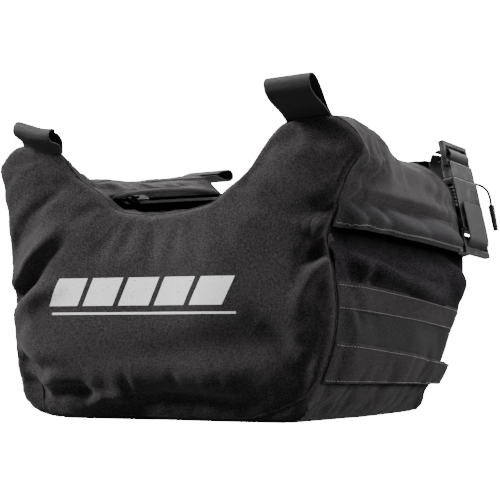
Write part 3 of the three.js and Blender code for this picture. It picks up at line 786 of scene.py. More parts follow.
# The front's folds, as (places in x and z, width, height), in millimetres. The canvas
# is pinched at each side seam below the horns, and it slumps over the base.
FRONT_FOLDS = [
    ([(-192, 120), (-176, 131), (-160, 143), (-146, 158)], 8, -12),
    ([(-188, 139), (-168, 152), (-150, 172), (-128, 192)], 9, 8),
    ([(-170, 137), (-156, 154), (-140, 166), (-120, 178)], 6, -4),
    ([(-185, 104), (-165, 118), (-148, 128), (-124, 134)], 11, 7),
    ([(-188, 176), (-170, 190), (-150, 206)], 8, -4),
    ([(192, 178), (182, 171), (172, 166), (162, 158)], 8, -12),
    ([(192, 196), (176, 190), (156, 192)], 8, 5),
    ([(191, 158), (178, 152), (166, 138), (158, 116)], 8, 7),
    ([(192, 214), (184, 208), (174, 206)], 5, -5),
    ([(190, 226), (168, 222), (144, 232)], 9, 3),
    ([(-188, 72), (-174, 60), (-156, 50), (-138, 44)], 7, -8),
    ([(-170, 78), (-146, 66), (-122, 60)], 10, 6),
    ([(-176, 40), (-158, 34), (-140, 22)], 7, -6),
    ([(-146, 38), (-126, 44), (-106, 36)], 7, 6),
    ([(-128, 24), (-104, 30), (-80, 24)], 6, -7),
    ([(-96, 14), (-66, 24), (-34, 20)], 6, 5),
    ([(-46, 12), (-4, 22), (40, 22), (84, 18), (118, 24)], 9, -9),
    ([(-70, 44), (0, 52), (60, 46), (120, 56)], 14, 6),
    ([(10, 68), (70, 78), (130, 72)], 16, -4),
    ([(112, 96), (140, 74), (160, 48)], 14, -8),
    ([(-90, 86), (-20, 82), (60, 96)], 22, 3),
    ([(-140, 224), (-112, 212), (-84, 206)], 14, -3),
    ([(-60, 190), (0, 186), (60, 192)], 26, -3),
    ([(96, 236), (128, 246), (158, 244)], 16, 3),
    ([(40, 160), (58, 110), (66, 44)], 42, 7),
]
SIDE_FOLDS = [
    ([(-140, 229), (-90, 226), (-40, 223), (40, 219), (138, 213)], 6.5, 5),
    ([(-140, 214), (-90, 211), (-40, 208), (40, 204), (138, 197)], 4.5, -5),
    ([(-142, 250), (-120, 240), (-92, 236)], 7, -4),
    ([(-128, 262), (-100, 252), (-70, 250)], 9, 3),
    ([(-60, 262), (-10, 244), (60, 240)], 14, -3),
    ([(20, 262), (70, 250), (126, 240)], 12, 3),
    ([(60, 236), (100, 226), (136, 222)], 8, -2),
    ([(-138, 18), (-110, 12), (-80, 14)], 6, -3),
    ([(-60, 20), (0, 14), (60, 20)], 8, 2.5),
    ([(80, 18), (110, 24), (138, 20)], 7, -2.5),
]
BACK_FOLDS = [
    ([(-186, 150), (-160, 156), (-130, 150)], 9, -4),
    ([(-184, 176), (-150, 180), (-116, 176)], 11, 3.5),
    ([(186, 120), (158, 118), (130, 124)], 9, -3.5),
    ([(-160, 40), (-110, 30), (-60, 36), (0, 28)], 10, -4),
    ([(40, 36), (100, 30), (150, 44)], 10, -3),
    ([(-100, 60), (0, 62), (100, 58)], 16, 3.5),
]
TROUGH_FOLDS = [
    ([(-60, -120), (-30, -60), (-36, 0)], 14, -2.5),
    ([(30, -110), (50, -30), (40, 60)], 16, 2.5),
    ([(70, -120), (86, -60), (80, 20), (90, 110)], 12, -2.5),
    ([(-104, -100), (-112, -20), (-104, 60)], 10, 2),
]


def pull_to_seams(points):
    """Brings the softened edges back out to the seams. The pull fades within 8 mm."""
    for seam in SEAMS.values():
        nearest, line = nearest_in(points), nearest_in(seam)
        gaps = np.array([place - points[nearest.find(place)[1]] for place in seam])
        found = [line.find(place)[1:] for place in points]
        index = np.array([f[0] for f in found])
        distance = np.array([f[1] for f in found])
        points = points + gaps[index] * np.exp(-(distance / (8 * MM)) ** 2)[:, None]
    return points


def slump(points):
    """The sand's weight: both end faces belly out low down and tuck in under it."""
    face = smoothstep((abs(points[:, 1]) - 141 * MM) / (5 * MM))
    x, z = points[:, 0] / MM, points[:, 2] / MM
    wide = np.cos(np.clip(x / 205, -1, 1) * math.pi / 2) ** 0.6
    belly = 9 * np.exp(-((z - 92) / 78) ** 2) * wide
    tuck = 4 * np.exp(-(z / 22) ** 2) * smoothstep((x + 150) / 80)
    points[:, 1] += np.sign(points[:, 1]) * face * (belly - tuck) * MM
    return points


def near_place(points, place, spread):
    """1 at a place and fading out around it, by its spread along each axis."""
    away = (points / MM - np.array(place)) / np.array(spread)
    return np.exp(-(away ** 2).sum(1))


# How the outline shifts, as (millimetres to the left, place, spread along each axis).
SHIFTS = ((4, (-200, -142, 235), (30, 34, 62)), (8, (-165, -142, 10), (42, 44, 28)),
          (-6, (212, -142, 260), (24, 26, 25)), (8, (188, -142, 180), (26, 20, 20)))


def settle(points):
    """Where the sand has shifted: it fills the right shoulder, it has left the cloth behind
    the left horn, and it fills the front's left edge."""
    behind_seam = smoothstep((points[:, 1] / MM + 139) / 14)
    rise = 9 * near_place(points, (183, -5, 272), (24, 42, 36))
    rise += 7 * near_place(points, (178, -85, 290), (34, 50, 40)) * behind_seam
    rise -= 14 * near_place(points, (-150, -95, 262), (42, 30, 34)) * behind_seam
    out = sum(size * near_place(points, place, spread) for size, place, spread in SHIFTS)
    line = 172 - 12 * points[:, 1] / (142 * MM)
    under_flap = np.exp(-((points[:, 2] / MM - line) / 15) ** 2)
    sides = smoothstep((abs(points[:, 0]) / MM - 160) / 20)
    ends = smoothstep((139 - abs(points[:, 1]) / MM) / 22)
    out += 11 * under_flap * sides * ends * np.sign(points[:, 0])
    points[:, 2] += rise * MM
    points[:, 0] -= out * MM
    return points


def shell_folds(points, normals):
    """Adds every panel's folds, which calm down near the pieces sewn to the shell."""
    before = points.copy()
    for folds, drop, axis, sign in ((FRONT_FOLDS, 1, 1, -1), (BACK_FOLDS, 1, 1, 1),
                                    (SIDE_FOLDS, 0, 0, 1), (SIDE_FOLDS, 0, 0, -1),
                                    (TROUGH_FOLDS, 2, 2, 1)):
        facing = smoothstep((normals[:, axis] * sign - 0.25) / 0.4)
        if drop == 2:
            facing = facing * (points[:, 2] > 0.1)
        for line, width, depth in folds:
            fold(points, normals * facing[:, None], flat_line(line), width * MM,
                 depth * MM, drop)
    moved = points - before
    calm = smoothstep((distances(before, hardware_points()) - 6 * MM) / (16 * MM))
    return before + moved * calm[:, None]


def bedded(points, zip_at, half, low, high):
    """Lays the shell just under a zip's tape, and lets it rise again beside it."""
    origin, turn = np.array(zip_at[0]), np.array(zip_at[1])
    across, along, off = ((points - origin) @ turn / MM).T
    beyond = np.maximum(0, abs(across) - half)
    beyond += np.maximum(0, low - along) + np.maximum(0, along - high)
    near = (beyond < 14) & (abs(off) < 18)
    too_high = np.where(near, np.maximum(0, off + 0.2 - 0.5 * beyond), 0)
    return points - too_high[:, None] * turn[:, 2] * MM


def cover(obj, material, points):
    """Gives a remeshed bag its final points and its cloth."""
    set_positions(obj.data, points)
    paint(obj.data, material)
    obj.data.polygons.foreach_set("use_smooth", [True] * len(obj.data.polygons))


def build_shell():
    shell = new_object("bag_shell", joined_panels())
    remeshed(shell, SHELL_VOXEL)
    keep_outer_skin(shell.data)
    relaxed(shell)
    points = pull_to_seams(positions(shell.data))
    set_positions(shell.data, points)
    seam_gap = np.min([distances(points, line) for line in SEAMS.values()], axis=0)
    kit_gap = distances(points, hardware_points())
    held = 1 - smoothstep((seam_gap - 5 * MM) / (10 * MM))
    held = np.maximum(held, 1 - smoothstep((kit_gap - 10 * MM) / (25 * MM)))
    held = np.maximum(held, (points[:, 2] < 1.5 * MM) * 1.0)
    inflate(shell, held, pressure=4.0, slack=0.02, frames=20, cap=region_cap(points))
    applied(shell, "SUBSURF", levels=1, render_levels=1)
    points = pull_to_seams(positions(shell.data))
    points = settle(slump(points))
    set_positions(shell.data, points)
    normals = vertex_normals(shell.data)
    points = shell_folds(points, normals)
    points = bedded(points, MAIN_ZIP, half=12, low=-4, high=250)
    points = bedded(points, BACK_ZIP, half=8, low=172, high=246)
    for seam in (*SEAMS.values(), RIGHT_CORNER, LEFT_CORNER):
        gap = distances(points, seam)
        groove = 0.6 * MM * np.exp(-((gap - 3 * MM) / (2.2 * MM)) ** 2)
        points -= normals * groove[:, None]
    points[:, 2] = np.maximum(points[:, 2], 0.0)
    cover(shell, printed_canvas, points)
    stand_for(shell, "bag", "canvas", *PANELS)
    return shell


def add_fill(name):
    """A calico bag of sand, slack inside the shell."""
    fill = new_object(f"{name}_bag", nodes[name].data.copy())
    remeshed(fill, FILL_VOXEL)
    relaxed(fill)
    points = settle(positions(fill.data))
    lumps = np.sin(points[:, 0] * 61 + points[:, 2] * 47) * np.sin(points[:, 1] * 53)
    points -= vertex_normals(fill.data) * ((5 - 1.5 * lumps) * MM)[:, None]
    points[:, 2] = np.maximum(points[:, 2], 5 * MM)
    cover(fill, calico, points)
    stand_for(fill, "bag", "fill_cloth", name)


def welt_line(line, closed):
    """The line laid on the shell, just off its surface, and evened out."""
    hits = [shell_tree.find_nearest(Vector(p)) for p in line]
    line = np.array([np.array(h[0]) + np.array(h[1]) * 0.15 * MM for h in hits])
    line[:, 2] = np.maximum(line[:, 2], 1.1 * MM)
    for _ in range(3):
        middle = (np.roll(line, 1, axis=0) + np.roll(line, -1, axis=0)) / 2
        if not closed:
            middle[0], middle[-1] = line[0], line[-1]
        line = (line + middle) / 2
    return line


def add_seam_welts():
    """The turned edges of the cloth, which stand up a little along each seam."""
    for name, seam in dict(SEAMS, front=front_welt_line()).items():
        closed = name in ("front", "back")
        welt = tube(f"welt_{name}", welt_line(seam, closed), WELT_RADIUS, 8, canvas, closed)
        stand_for(welt, "bag", "canvas")


# ---- layers sewn to the sides ------------------------------------------------
# Heights in millimetres of the layers' edges, at the front and at the back.
FLAP_SEAM = (219, 203)
FLAP_HEM = (190, 169)
SLIP_TOP = (138, 109)
SLIP_STITCH = (110, 86)
BAND_TOP = (80, 52)
BAND_LOW = (39, 30)
LAYER_COLUMNS = 110
LAYER_REACH = 0.996
LEFT_SHIFT = 9
STITCH_PITCH, STITCH_SHARE = 3.6 * MM, 0.72
ZIGZAG_PITCH, ZIGZAG_SWING = 3.4 * MM, 0.05


def seam_height(seam, depth):
    front, back = seam
    return (front + (back - front) * (depth + 1) / 2) * MM


def shell_reach(side, y, z):
    """How far the shell's side lies from the middle plane at one height and depth."""
    hit = shell_tree.ray_cast(Vector((side * 0.3, y, z)), Vector((-side, 0, 0)))[0]
    return abs(hit.x) if hit is not None else 0.19


def side_grid(side, top, bottom, stand_off, rows):
    """Points of a layer over a gusset, from seam top to seam bottom and front to back."""
    columns = LAYER_COLUMNS
    grid = np.empty((rows + 1, columns + 1, 3))
    for i in range(rows + 1):
        for j in range(columns + 1):
            u, depth = i / rows, LAYER_REACH * (2 * j / columns - 1)
            high, low = seam_height(top, depth), seam_height(bottom, depth)
            z = high + (low - high) * u
            y = depth * HALF_DEPTH
            grid[i, j] = (side * (shell_reach(side, y, z) + stand_off(u, depth) * MM), y, z)
    return grid


def grid_size(grid):
    """The flat width and length of a grid, along its middle lines."""
    rows, columns = grid.shape[0] // 2, grid.shape[1] // 2
    return (float(path_lengths(grid[:, columns])[-1]), float(path_lengths(grid[rows])[-1]))


def grid_sheet(name, grid, thick, material):
    """A cloth layer from a grid, thickened and rounded."""
    rows, columns = grid.shape[:2]
    width, length = grid_size(grid)
    cloth = [(width * i / (rows - 1), length * j / (columns - 1), 0)
             for i in range(rows) for j in range(columns)]
    sheet = mesh_from(name, grid.reshape(-1, 3), grid_faces(rows, columns), material,
                      cloth=cloth)
    modify(sheet, "SOLIDIFY", thickness=thick, offset=0)
    modify(sheet, "SUBSURF", levels=1, render_levels=1)
    return sheet


def grid_normals(grid, side):
    normals = unit(np.cross(np.gradient(grid, axis=0), np.gradient(grid, axis=1)))
    return normals * np.sign(normals[..., :1] * side)


def sampled(grid, u, depths):
    """Places on a grid at height share u, for each share along it."""
    rows, columns = grid.shape[0] - 1, grid.shape[1] - 1
    made = []
    for u_here, share in zip(np.broadcast_to(u, len(depths)), depths):
        i, j = min(u_here * rows, rows - 1e-6), min(share * columns, columns - 1e-6)
        a, b = int(i), int(j)
        s, t = i - a, j - b
        made.append(grid[a, b] * (1 - s) * (1 - t) + grid[a + 1, b] * s * (1 - t)
                    + grid[a, b + 1] * (1 - s) * t + grid[a + 1, b + 1] * s * t)
    return np.array(made)


THREAD_RADIUS = 0.38 * MM
THREAD_SIDES = 5
# A stitch's rings, as (share of its length, height and size in thread radii).
STITCH_RINGS = ((0, -0.5, 0.5), (0.2, 0.25, 1), (0.8, 0.25, 1), (1, -0.5, 0.5))


def stitches(name, rows, body):
    """Rows of stitches. Each row is (starts, ends, normals)."""
    points, faces = [], []
    for starts, ends, normals in rows:
        for start, end, normal in zip(starts, ends, normals):
            along = end - start
            length = np.linalg.norm(along)
            along = along / max(length, 1e-9)
            side = unit(np.cross(along, normal))
            faces += ring_faces(len(points), len(STITCH_RINGS), THREAD_SIDES)
            for share, height, size in STITCH_RINGS:
                centre = start + along * length * share + normal * THREAD_RADIUS * height
                for k in range(THREAD_SIDES):
                    turn = 2 * math.pi * k / THREAD_SIDES
                    points.append(centre + THREAD_RADIUS * size
                                  * (math.cos(turn) * side + math.sin(turn) * normal))
    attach(mesh_from(name, points, faces, dull_thread), body)


def stitch_shares(grid, pitch, more=0):
    """Where stitches of that pitch start along a grid, as shares of its length."""
    return np.linspace(0.01, 0.99, int(grid_size(grid)[1] * 0.98 / pitch) + more)


def stitch_row(grid, normals, u, lift):
    """One straight row along a grid at height share u."""
    shares = stitch_shares(grid, STITCH_PITCH)
    gap = (shares[1] - shares[0]) * STITCH_SHARE
    up = unit(sampled(normals, u, shares))
    return (sampled(grid, u, shares) + up * lift, sampled(grid, u, shares + gap) + up * lift,
            up)


def zigzag_row(grid, normals, u, lift):
    """One zigzag row, which swings about height share u."""
    shares = stitch_shares(grid, ZIGZAG_PITCH, 1)
    heights = u + ZIGZAG_SWING * np.where(np.arange(len(shares)) % 2, 0.5, -0.5)
    up = unit(sampled(normals, u, shares))
    places = sampled(grid, heights, shares) + up * lift
    return places[:-1], places[1:], up[:-1]


def wrinkled(grid, side, folds):
    """Folds a side layer along lines of y and z, which the left side has further back."""
    points = grid.reshape(-1, 3).copy()
    normals = grid_normals(grid, side).reshape(-1, 3)
    shift = LEFT_SHIFT if side < 0 else 0
    for line, width, depth in folds:
        moved = [(y + shift, z) for y, z in line]
        fold(points, normals, flat_line(moved), width * MM, depth * MM, 0)
    return points.reshape(grid.shape)


def creases(seed, count, low, high, height):
    """Short soft creases scattered over a band of y and z, in millimetres."""
    generator = np.random.default_rng(seed)
    made = []
    for _ in range(count):
        y, z = generator.uniform(low[0], high[0]), generator.uniform(low[1], high[1])
        turn = math.radians(generator.uniform(-70, 20))
        reach = generator.uniform(20, 55) / 2
        dy, dz = reach * math.cos(turn), reach * math.sin(turn)
        bow = generator.uniform(-0.2, 0.2) * reach
        line = [(y - dy, z - dz), (y + bow, z + bow), (y + dy, z + dz)]
        made.append((line, generator.uniform(3.5, 8), height * generator.uniform(-1, 1)))
    return made


FLAP_FOLDS = [
    ([(-134, 214), (-124, 204), (-118, 192)], 6, 3),
    ([(-116, 212), (-106, 202), (-100, 190)], 6, -3),
    ([(-98, 211), (-84, 200), (-76, 188)], 8, 2.6),
    ([(-72, 209), (-60, 198), (-54, 186)], 7, -2.2),
    ([(-50, 208), (-30, 197), (-12, 184)], 10, 2),
    ([(0, 206), (20, 195), (36, 180)], 9, -1.6),
    ([(40, 205), (70, 192), (96, 176)], 12, 2),
    ([(100, 203), (118, 190), (130, 174)], 9, -2),
]
POCKET_FOLDS = [
    ([(-140, 163), (-96, 154), (-34, 139), (20, 128), (70, 120)], 7, 9),
    ([(-134, 178), (-70, 163), (0, 147), (76, 130)], 11, -9),
    ([(-134, 140), (-96, 134), (-60, 128)], 6, -5),
    ([(-130, 160), (-125, 150), (-121, 140)], 5, -5),
    ([(-114, 156), (-110, 148), (-104, 138)], 4.5, 4),
    ([(-103, 156), (-95, 146), (-84, 135)], 6, -6),
    ([(-60, 150), (-40, 140), (-20, 132)], 7, -3),
    ([(66, 166), (100, 150), (124, 132)], 9, 6),
    ([(66, 146), (86, 132), (100, 116)], 8, -4),
]
SLIP_FOLDS = [
    ([(-132, 116), (-122, 100), (-116, 84)], 7, 2),
    ([(-104, 110), (-84, 96), (-70, 80)], 9, -1.6),
    ([(-30, 100), (0, 88), (30, 72)], 12, 1.6),
    ([(60, 92), (84, 78), (100, 62)], 9, -1.5),
]
BAND_FOLDS = [
    ([(-120, 76), (-112, 58), (-108, 42)], 8, 1.2),
    ([(-60, 70), (-52, 54), (-48, 40)], 11, -1.2),
    ([(0, 66), (8, 50), (12, 38)], 9, 1.4),
    ([(44, 62), (50, 48), (52, 36)], 8, -1.5),
    ([(78, 58), (84, 46), (86, 34)], 8, 1.4),
    ([(108, 56), (112, 44), (114, 33)], 7, -1.2),
]


def sewn_ends(depth):
    return min(1.0, max(0.0, (0.99 - abs(depth)) / 0.28))


def flap_off(u, depth):
    lift = (1.8 + 12 * float(smoothstep(u / 0.75))) * min(1, u / 0.12 + 0.15)
    return 0.6 + lift * (0.12 + 0.88 * float(smoothstep((0.985 - abs(depth)) / 0.22)))


def pocket_off(u, depth):
    low = 0.6 + 11 * smoothstep(u / 0.7) - 8.6 * smoothstep((u - 0.7) / 0.3)
    return 1.2 + sewn_ends(depth) * float(low)


def slip_off(u, depth):
    return 1.2 + 3 * sewn_ends(depth) * (1 - 0.5 * abs(2 * u - 1) ** 3)


def hem_off(u, depth):
    return 4.8 * sewn_ends(depth) ** 0.5 + 1.2 - 0.8 * float(smoothstep((u - 0.6) / 0.4))


def band_off(u, depth):
    loose = max(0.0, depth - 0.6) * 14
    return 5 * sewn_ends(min(depth, 0.6)) ** 0.6 + 1.6 + loose


def shifted(seam, step):
    return seam[0] + step, seam[1] + step


# Each layer's name, CAD node, top, bottom, distance off the shell, rows, folds, creases,
# thickness, cloth, how it is held and what it rests on.
LAYERS = (
    ("flap_cloth", "flap", shifted(FLAP_SEAM, -1), FLAP_HEM, flap_off, 16, FLAP_FOLDS,
     (5, 8, (-130, 176), (130, 208), 1.2), 2.2, pocket_canvas, "hung", None),
    ("pocket_cloth", "pocket", shifted(FLAP_HEM, 8), shifted(SLIP_TOP, -3), pocket_off, 26,
     POCKET_FOLDS, (9, 14, (-130, 130), (130, 180), 1.6), 1.8, painted_shade_canvas, "gathered",
     None),
    ("slip_cloth", "slip_pocket", SLIP_TOP, shifted(BAND_LOW, 1), slip_off, 30, SLIP_FOLDS,
     (13, 8, (-130, 60), (130, 104), 0.9), 1.8, pocket_canvas, "stretched", None),
    ("hem_cloth", "slip_hem", SLIP_TOP, SLIP_STITCH, hem_off, 10, [],
     (17, 6, (-130, 100), (130, 130), 0.8), 1.6, canvas, "stretched", "slip_cloth"),
    ("band_cloth", "band", BAND_TOP, BAND_LOW, band_off, 16, BAND_FOLDS,
     (0, 0, (0, 0), (0, 0), 0), 2.0, canvas, "stretched", "slip_cloth"),
)
# The stitched layers: the stitches' name, the kind of row, its heights and its lift.
ROWS = {"flap_cloth": ("flap_stitches", zigzag_row, (0.84,), 1.25),
        "hem_cloth": ("hem_stitches", stitch_row, (0.12, 0.92), 0.9),
        "band_cloth": ("band_stitches", stitch_row, (0.08, 0.93), 1.1)}


def add_side(word, side):
    for (name, cad, top, low, off, rows, folds, scatter, thick, cloth, held,
         under) in LAYERS:
        body = f"{word}_flap" if cad == "flap" else "bag"
        grid = wrinkled(side_grid(side, top, low, off, rows), side,
                        folds + creases(*scatter))
        sheet = grid_sheet(f"{name}_{word}", grid, thick * MM, cloth)
        stand_for(sheet, body, "canvas" if cloth is canvas else "pocket_canvas",
                  f"{cad}_{word}")
        if name in ROWS:
            stitch_name, row, heights, lift = ROWS[name]
            normals = grid_normals(grid, side)
            stitches(f"{stitch_name}_{word}",
                     [row(grid, normals, u, lift * MM) for u in heights], body)


# ---- webbing -----------------------------------------------------------------
def strip_profile():
    """A strap's section, as shares of its half width and half thickness."""
    edge = [(-1, 0), (-0.985, 0.75), (-0.94, 1)]
    half = edge + [(x, 1) for x in np.linspace(-0.8, 0.8, 9)] + [(0.94, 1), (0.985, 0.75)]
    return half + [(-x, -y) for x, y in half]


def strip(name, stations, width=WEBBING_WIDTH, thick=WEBBING_THICK, material=webbing,
          step=1.6 * MM):
    """A flat strap. Each station is its place and the direction of its width, six
    numbers."""
    rows = catmull(stations, step)
    centres, across = rows[:, :3], rows[:, 3:6]
    forward = headings(centres)
    across = unit(across - forward * np.sum(across * forward, axis=1, keepdims=True))
    faces_up = np.cross(forward, across)
    half, lift = width / 2, thick / 2
    profile = strip_profile()
    points, cloth = [], []
    for i, place in enumerate(path_lengths(centres)):
        for a, b in profile:
            points.append(centres[i] + across[i] * a * half + faces_up[i] * b * lift)
            cloth.append((a * half, place, 0))
    faces = ring_faces(0, len(centres), len(profile))
    return mesh_from(name, points, faces, material, cloth=cloth)


def loop_frame(lean, slope):
    """Turns a loop's own axes into the bag's: x along its width, z towards its top."""
    return (Matrix.Rotation(math.radians(slope), 3, "Y")
            @ Matrix.Rotation(math.radians(lean), 3, "X"))


def teardrop(half):
    """A back loop's section from one half of it, closed over its top."""
    return half + [(0, 41.2)] + [(-x, y) for x, y in reversed(half)]


# Each loop's root, how it leans, and its section from the root round and back, as
# (forward, up) in millimetres before it is leant.
LOOPS = {
    "front_right": ((158.5, -144.5, 298.8), 50, -3.4,
                    [(1, -7), (1.2, 0), (1.8, 6), (4, 15), (7.4, 26), (8.8, 35), (8, 42), (4, 48),
                     (0, 49.2), (-4.6, 47.4), (-8, 42), (-8.6, 35), (-7.2, 26), (-4, 15),
                     (-1.8, 6), (-1.2, 0), (-1, -7)]),
    "front_left": ((-154, -144.5, 282), 0, 13,
                   [(-0.6, -7), (0, -1), (0, 4), (0.5, 9), (2, 14), (5, 18.5), (9, 20.6), (13, 20),
                    (16, 16), (16.6, 11), (15, 6.5), (12, 4), (9, 3.2), (6.5, 2.4), (5, 1.4),
                    (3.5, 0), (2.8, -1.6), (2.2, -7)]),
    "back_right": ((115, 150.6, 272), -98, -4,
                   teardrop([(1.2, 0), (1.8, 5), (4.2, 14), (6.8, 25), (7, 34), (4, 40)])),
    "back_left": ((-144, 150.6, 270), -88, -2,
                  teardrop([(1.2, 0), (1.8, 5), (4, 14), (6, 25), (6.1, 34), (3.6, 40)])),
}
# The front left loop is squashed: this is its section at the inner end.
SQUASHED_END = [(-0.6, -7), (0, 0), (0.5, 4), (1.5, 8), (4.5, 12.5), (9, 16), (14, 18),
                (19, 17.5), (23, 14.5), (24, 11), (22, 8.8), (17, 8), (12, 7.6), (8, 6.4),
                (5.5, 4.6), (4, 2.4), (2.8, 0), (2.2, -7)]


def add_loop(word):
    root, lean, slope, section = LOOPS[word]
    far_section = SQUASHED_END if word == "front_left" else section
    turn = loop_frame(lean, slope)
    stations = []
    for (forward, up), (far_forward, far_up) in zip(section, far_section):
        shear = 0.22 * up if word == "front_left" else 0
        near = Vector((-25 - shear, -forward, up)) * MM
        far = Vector((25 - shear, -far_forward, far_up)) * MM
        place = Vector(root) * MM + turn @ ((near + far) / 2)
        stations.append((*place, *(turn @ (far - near).normalized())))
    stand_for(strip(f"loop_webbing_{word}", stations), f"{word}_loop", "webbing",
              f"grab_loop_{word}")


def buckle_frame():
    """The buckle's own axes: x across the webbing, y towards the male half, z off its
    face."""
    lean = Matrix.Rotation(math.radians(-15), 3, "Y")
    upright = Matrix(((0, 0, 1), (1, 0, 0), (0, 1, 0)))
    tilt = Matrix.Rotation(math.radians(-5.2), 3, "Z")
    return lean @ upright @ tilt


BUCKLE = buckle_frame()
BUCKLE_CENTRE = Vector((178, 190, 233)) * MM


def on_buckle(across, along, off):
    return BUCKLE_CENTRE + BUCKLE @ (Vector((across, along, off)) * MM)


def threaded(name, route):
    """A strap through a ladder of the buckle, which it follows."""
    across = BUCKLE @ Vector((1, 0, 0))
    stations = [(*on_buckle(0, along, off), *across) for off, along in route]
    return strip(name, stations, step=1 * MM)


def hung_strap(name, stations):
    """A strap with its width upright, from places in millimetres and its turn there."""
    rows = []
    for x, y, z, turn in stations:
        angle = math.radians(turn)
        rows.append((x * MM, y * MM, z * MM, 0, math.sin(angle), math.cos(angle)))
    return strip(name, rows)


# The straps' ways through the ladders, as (off the buckle's face, along it).
UPPER_LOOP = [(-12, 56), (-4, 56.4), (1, 56.2), (4.2, 54.6), (5.6, 51.4), (5.6, 47.8),
              (4.2, 45), (1, 43.6), (-4, 43.4), (-10, 43.8)]
LOWER_TAIL = [(-16, -55.6), (-8, -55.4), (0, -55.2), (4, -54.4), (6.6, -51.8),
              (7.6, -47.4), (8.2, -36), (8.2, -8)]
LADDER_TURN = 95.2


def add_straps():
    stand_for(threaded("strap_upper_turn", UPPER_LOOP), "male_half", "webbing",
              "upper_strap_loop")

    ux, uy, uz = on_buckle(0, 55.6, -13.4) / MM
    upper = hung_strap("strap_upper", [
        (96, 151, 228, 0), (114, 152.2, 229, 0), (125, 161.5, 232, 20), (132, 171, 238, 46),
        (139, 182, 247, 72), (144, 190, 259, 86), (145.6, uy - 1, 271, 90),
        (ux - 3, uy, uz - 5, LADDER_TURN), (ux, uy, uz, LADDER_TURN)])
    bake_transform(upper)
    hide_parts("upper_strap")

    stand_for(threaded("strap_lower_tail", LOWER_TAIL), "bag", "webbing",
              "lower_strap_tail")

    lx, ly, lz = on_buckle(0, -55.6, -17.2) / MM
    lower = hung_strap("strap_lower", [
        (88, 151, 160, 0), (112, 152, 160, 0), (122, 158.5, 160.5, 16),
        (131, 166, 161.5, 38), (140, 173.5, 163.4, 60), (150, 180, 166.4, 78),
        (160, 184, 169.6, 90), (lx - 6, ly, lz - 1.7, LADDER_TURN),
        (lx, ly, lz, LADDER_TURN)])
    stand_for(lower, "bag", "webbing", "lower_strap")


# Half of a prong's outline, as (across, along) from its root to its tip and back.
PRONG = [(19, 19), (19.8, 21), (22, 22), (24.2, 21), (25, 19), (25.6, 11), (26.4, 10),
         (31.6, -11), (29.8, -11.8), (26, -14.6), (24.5, -22), (21, -22), (19, -12)]
RIB_COUNT = 6


def add_prong(word, side):
    """A prong with a ribbed thumb pad, which fills the housing's side window."""
    points, faces = [], []

    def add_block(outline, low, high):
        faces.extend(ring_faces(len(points), 2, len(outline)))
        for off in (low, high):
            points.extend(on_buckle(side * a, b, off) for a, b in outline)

    add_block(PRONG, -3.5, 3.5)
    for rib in range(RIB_COUNT):
        top = 10.6 - 4.1 * rib
        outer = 31.2 + 0.25 * rib
        add_block([(26, top), (outer, top), (outer + 0.9, top - 1.4), (outer, top - 2.9),
                   (26, top - 2.9)], -4.1, 4.1)
    prong = mesh_from(f"prong_{word}", points, faces, highlit_grip_nylon, smooth=False)
    modify(prong, "BEVEL", width=0.35 * MM, segments=2, limit_method="ANGLE")
    stand_for(prong, f"{word}_prong", "buckle_nylon", f"buckle_prong_{word}")


# ---- zips --------------------------------------------------------------------
def zip_frame(origin, along, normal):
    along, normal = Vector(along).normalized(), Vector(normal).normalized()
    across = along.cross(normal)
    turn = Matrix((across, along, normal)).transposed()
    return Vector(origin), turn


def placed(frame_of, across, along, off):
    origin, turn = frame_of
    return origin + turn @ (Vector((across, along, off)) * MM)


# A coil turn in millimetres: pitch, and its rings as (off the tape, half length, reach).
COIL_PITCH = 1.5
COIL_RINGS = ((1.2, 0.62, 1), (1.9, 0.55, 1), (2.2, 0.3, 0.9))
COIL_CORNERS = ((-0.35, -1), (2.4, -1), (2.4, 1), (-0.35, 1))


def add_zip(name, zip_at, low, high, half):
    """A coil zip: a woven tape and two rows of coil turns."""
    stations = [(*placed(zip_at, 0, y, 0.6), *(zip_at[1] @ Vector((1, 0, 0))))
                for y in np.linspace(low, high, 40)]
    stand_for(strip(f"{name}_cloth", stations, 2 * half * MM, 1.2 * MM, zip_cloth), "bag",
              "zip_cloth", f"{name}_tape")
    points, faces = [], []
    for i in range(int((high - low) / COIL_PITCH)):
        for way in (-1, 1):
            y = low + (i + (0.5 if way > 0 else 1)) * COIL_PITCH
            faces += ring_faces(len(points), len(COIL_RINGS), len(COIL_CORNERS))
            points += [tuple(placed(zip_at, way * dx * reach, y + dy * size, off))
                       for off, size, reach in COIL_RINGS for dx, dy in COIL_CORNERS]
    coil = mesh_from(f"{name}_coil", points, faces, coil_nylon, smooth=False)
    stand_for(coil, "bag", "zip_cloth")


MAIN_ZIP = zip_frame(Vector((-69.72 + 0.293, -120, 220.03 + 0.405)) * MM,
                     (-0.1086, 0.9910, 0.0786), (0.5861, 0, 0.8102))
BACK_ZIP = zip_frame(Vector((161, 150.1, 0)) * MM, (0, 0, 1), (0, 1, 0))


LIP_START, LIP_END, LIP_RADIUS = -8, 254, 2.4 * MM
# Where the painted shade below the main zip starts along it, and its length, in millimetres.
ZIP_SHADE_START, ZIP_SHADE_LENGTH = 12, 226


def add_zip_lip(name, across, rise):
    """A turned fold of cloth beside the main zip, which arches over its middle."""
    route = []
    for along in np.linspace(LIP_START, LIP_END, 90):
        share = (along - LIP_START) / (LIP_END - LIP_START)
        arch = math.sin(math.pi * np.clip(share, 0, 1)) ** 0.5
        route.append(placed(MAIN_ZIP, across, along, 0.4 + rise * arch))
    stand_for(tube(name, np.array(route), LIP_RADIUS, 12, canvas), "bag", "canvas")


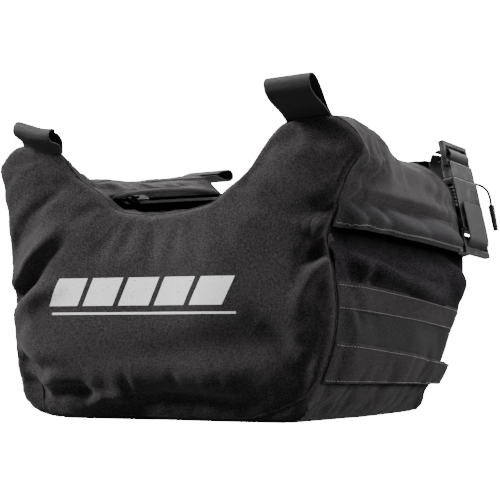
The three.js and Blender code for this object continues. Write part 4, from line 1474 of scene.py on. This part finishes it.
def add_zip_shade_sheet():
    """A black sheet laid on the trough's slope below the main zip: painted shade for the dark
    opening under the zip's lip.
    """
    points, cloth = [], []
    rows, columns = 8, 60
    outward = MAIN_ZIP[1] @ Vector((0, 0, 1))
    for i in range(rows + 1):
        for j in range(columns + 1):
            share = j / columns
            across = 7 + 13 * math.sin(math.pi * share) ** 0.6 * i / rows
            place = placed(MAIN_ZIP, across, ZIP_SHADE_START + ZIP_SHADE_LENGTH * share, 25)
            hit = shell_tree.ray_cast(place, -outward)[0]
            points.append(tuple(hit + outward * 0.9 * MM))
            cloth.append((across * MM, share * ZIP_SHADE_LENGTH * MM, 0))
    shade_sheet = mesh_from("zip_shade_sheet", points, grid_faces(rows + 1, columns + 1), zip_cloth,
                      cloth=cloth)
    modify(shade_sheet, "SOLIDIFY", thickness=0.8 * MM, offset=0)
    stand_for(shade_sheet, "bag", "zip_cloth")


def add_zips():
    add_zip_shade_sheet()
    add_zip_lip("zip_lip_upper", across=-10, rise=8.4)
    add_zip_lip("zip_lip_upper_edge", across=-13.6, rise=6.2)
    add_zip("main_zip", MAIN_ZIP, low=0, high=246.2, half=9)
    add_zip("back_zip", BACK_ZIP, low=176, high=242, half=6)


# ---- pieces that keep their CAD shape ----------------------------------------
def dress_nodes():
    """Each node's material and the width of its rounded edges, in millimetres."""
    for names, material, bevel in (
            (("buckle_female", "buckle_male"), nylon, 0.7),
            (("main_zip_slider", "main_zip_pull", "back_zip_slider"), dark_metal, 0.3),
            (("back_zip_grip",), rubber, 0),
            (("main_zip_end_front", "main_zip_end_back"), zip_cloth, 0)):
        for name in names:
            paint(nodes[name].data, material)
            if bevel:
                modify(nodes[name], "BEVEL", width=bevel * MM, segments=3,
                       limit_method="ANGLE")


add_camera()
add_cord()
light_world()
add_floor()
for light in LIGHTS:
    add_area_light(*light)
shell = build_shell()
shell_tree = BVHTree.FromObject(shell, bpy.context.evaluated_depsgraph_get())
for fill_name in ("fill_left", "fill_main", "fill_right"):
    add_fill(fill_name)
add_seam_welts()
add_side("right", 1)
add_side("left", -1)
for loop_word in LOOPS:
    add_loop(loop_word)
add_straps()
add_prong("far", 1)
add_prong("near", -1)
add_zips()
dress_nodes()
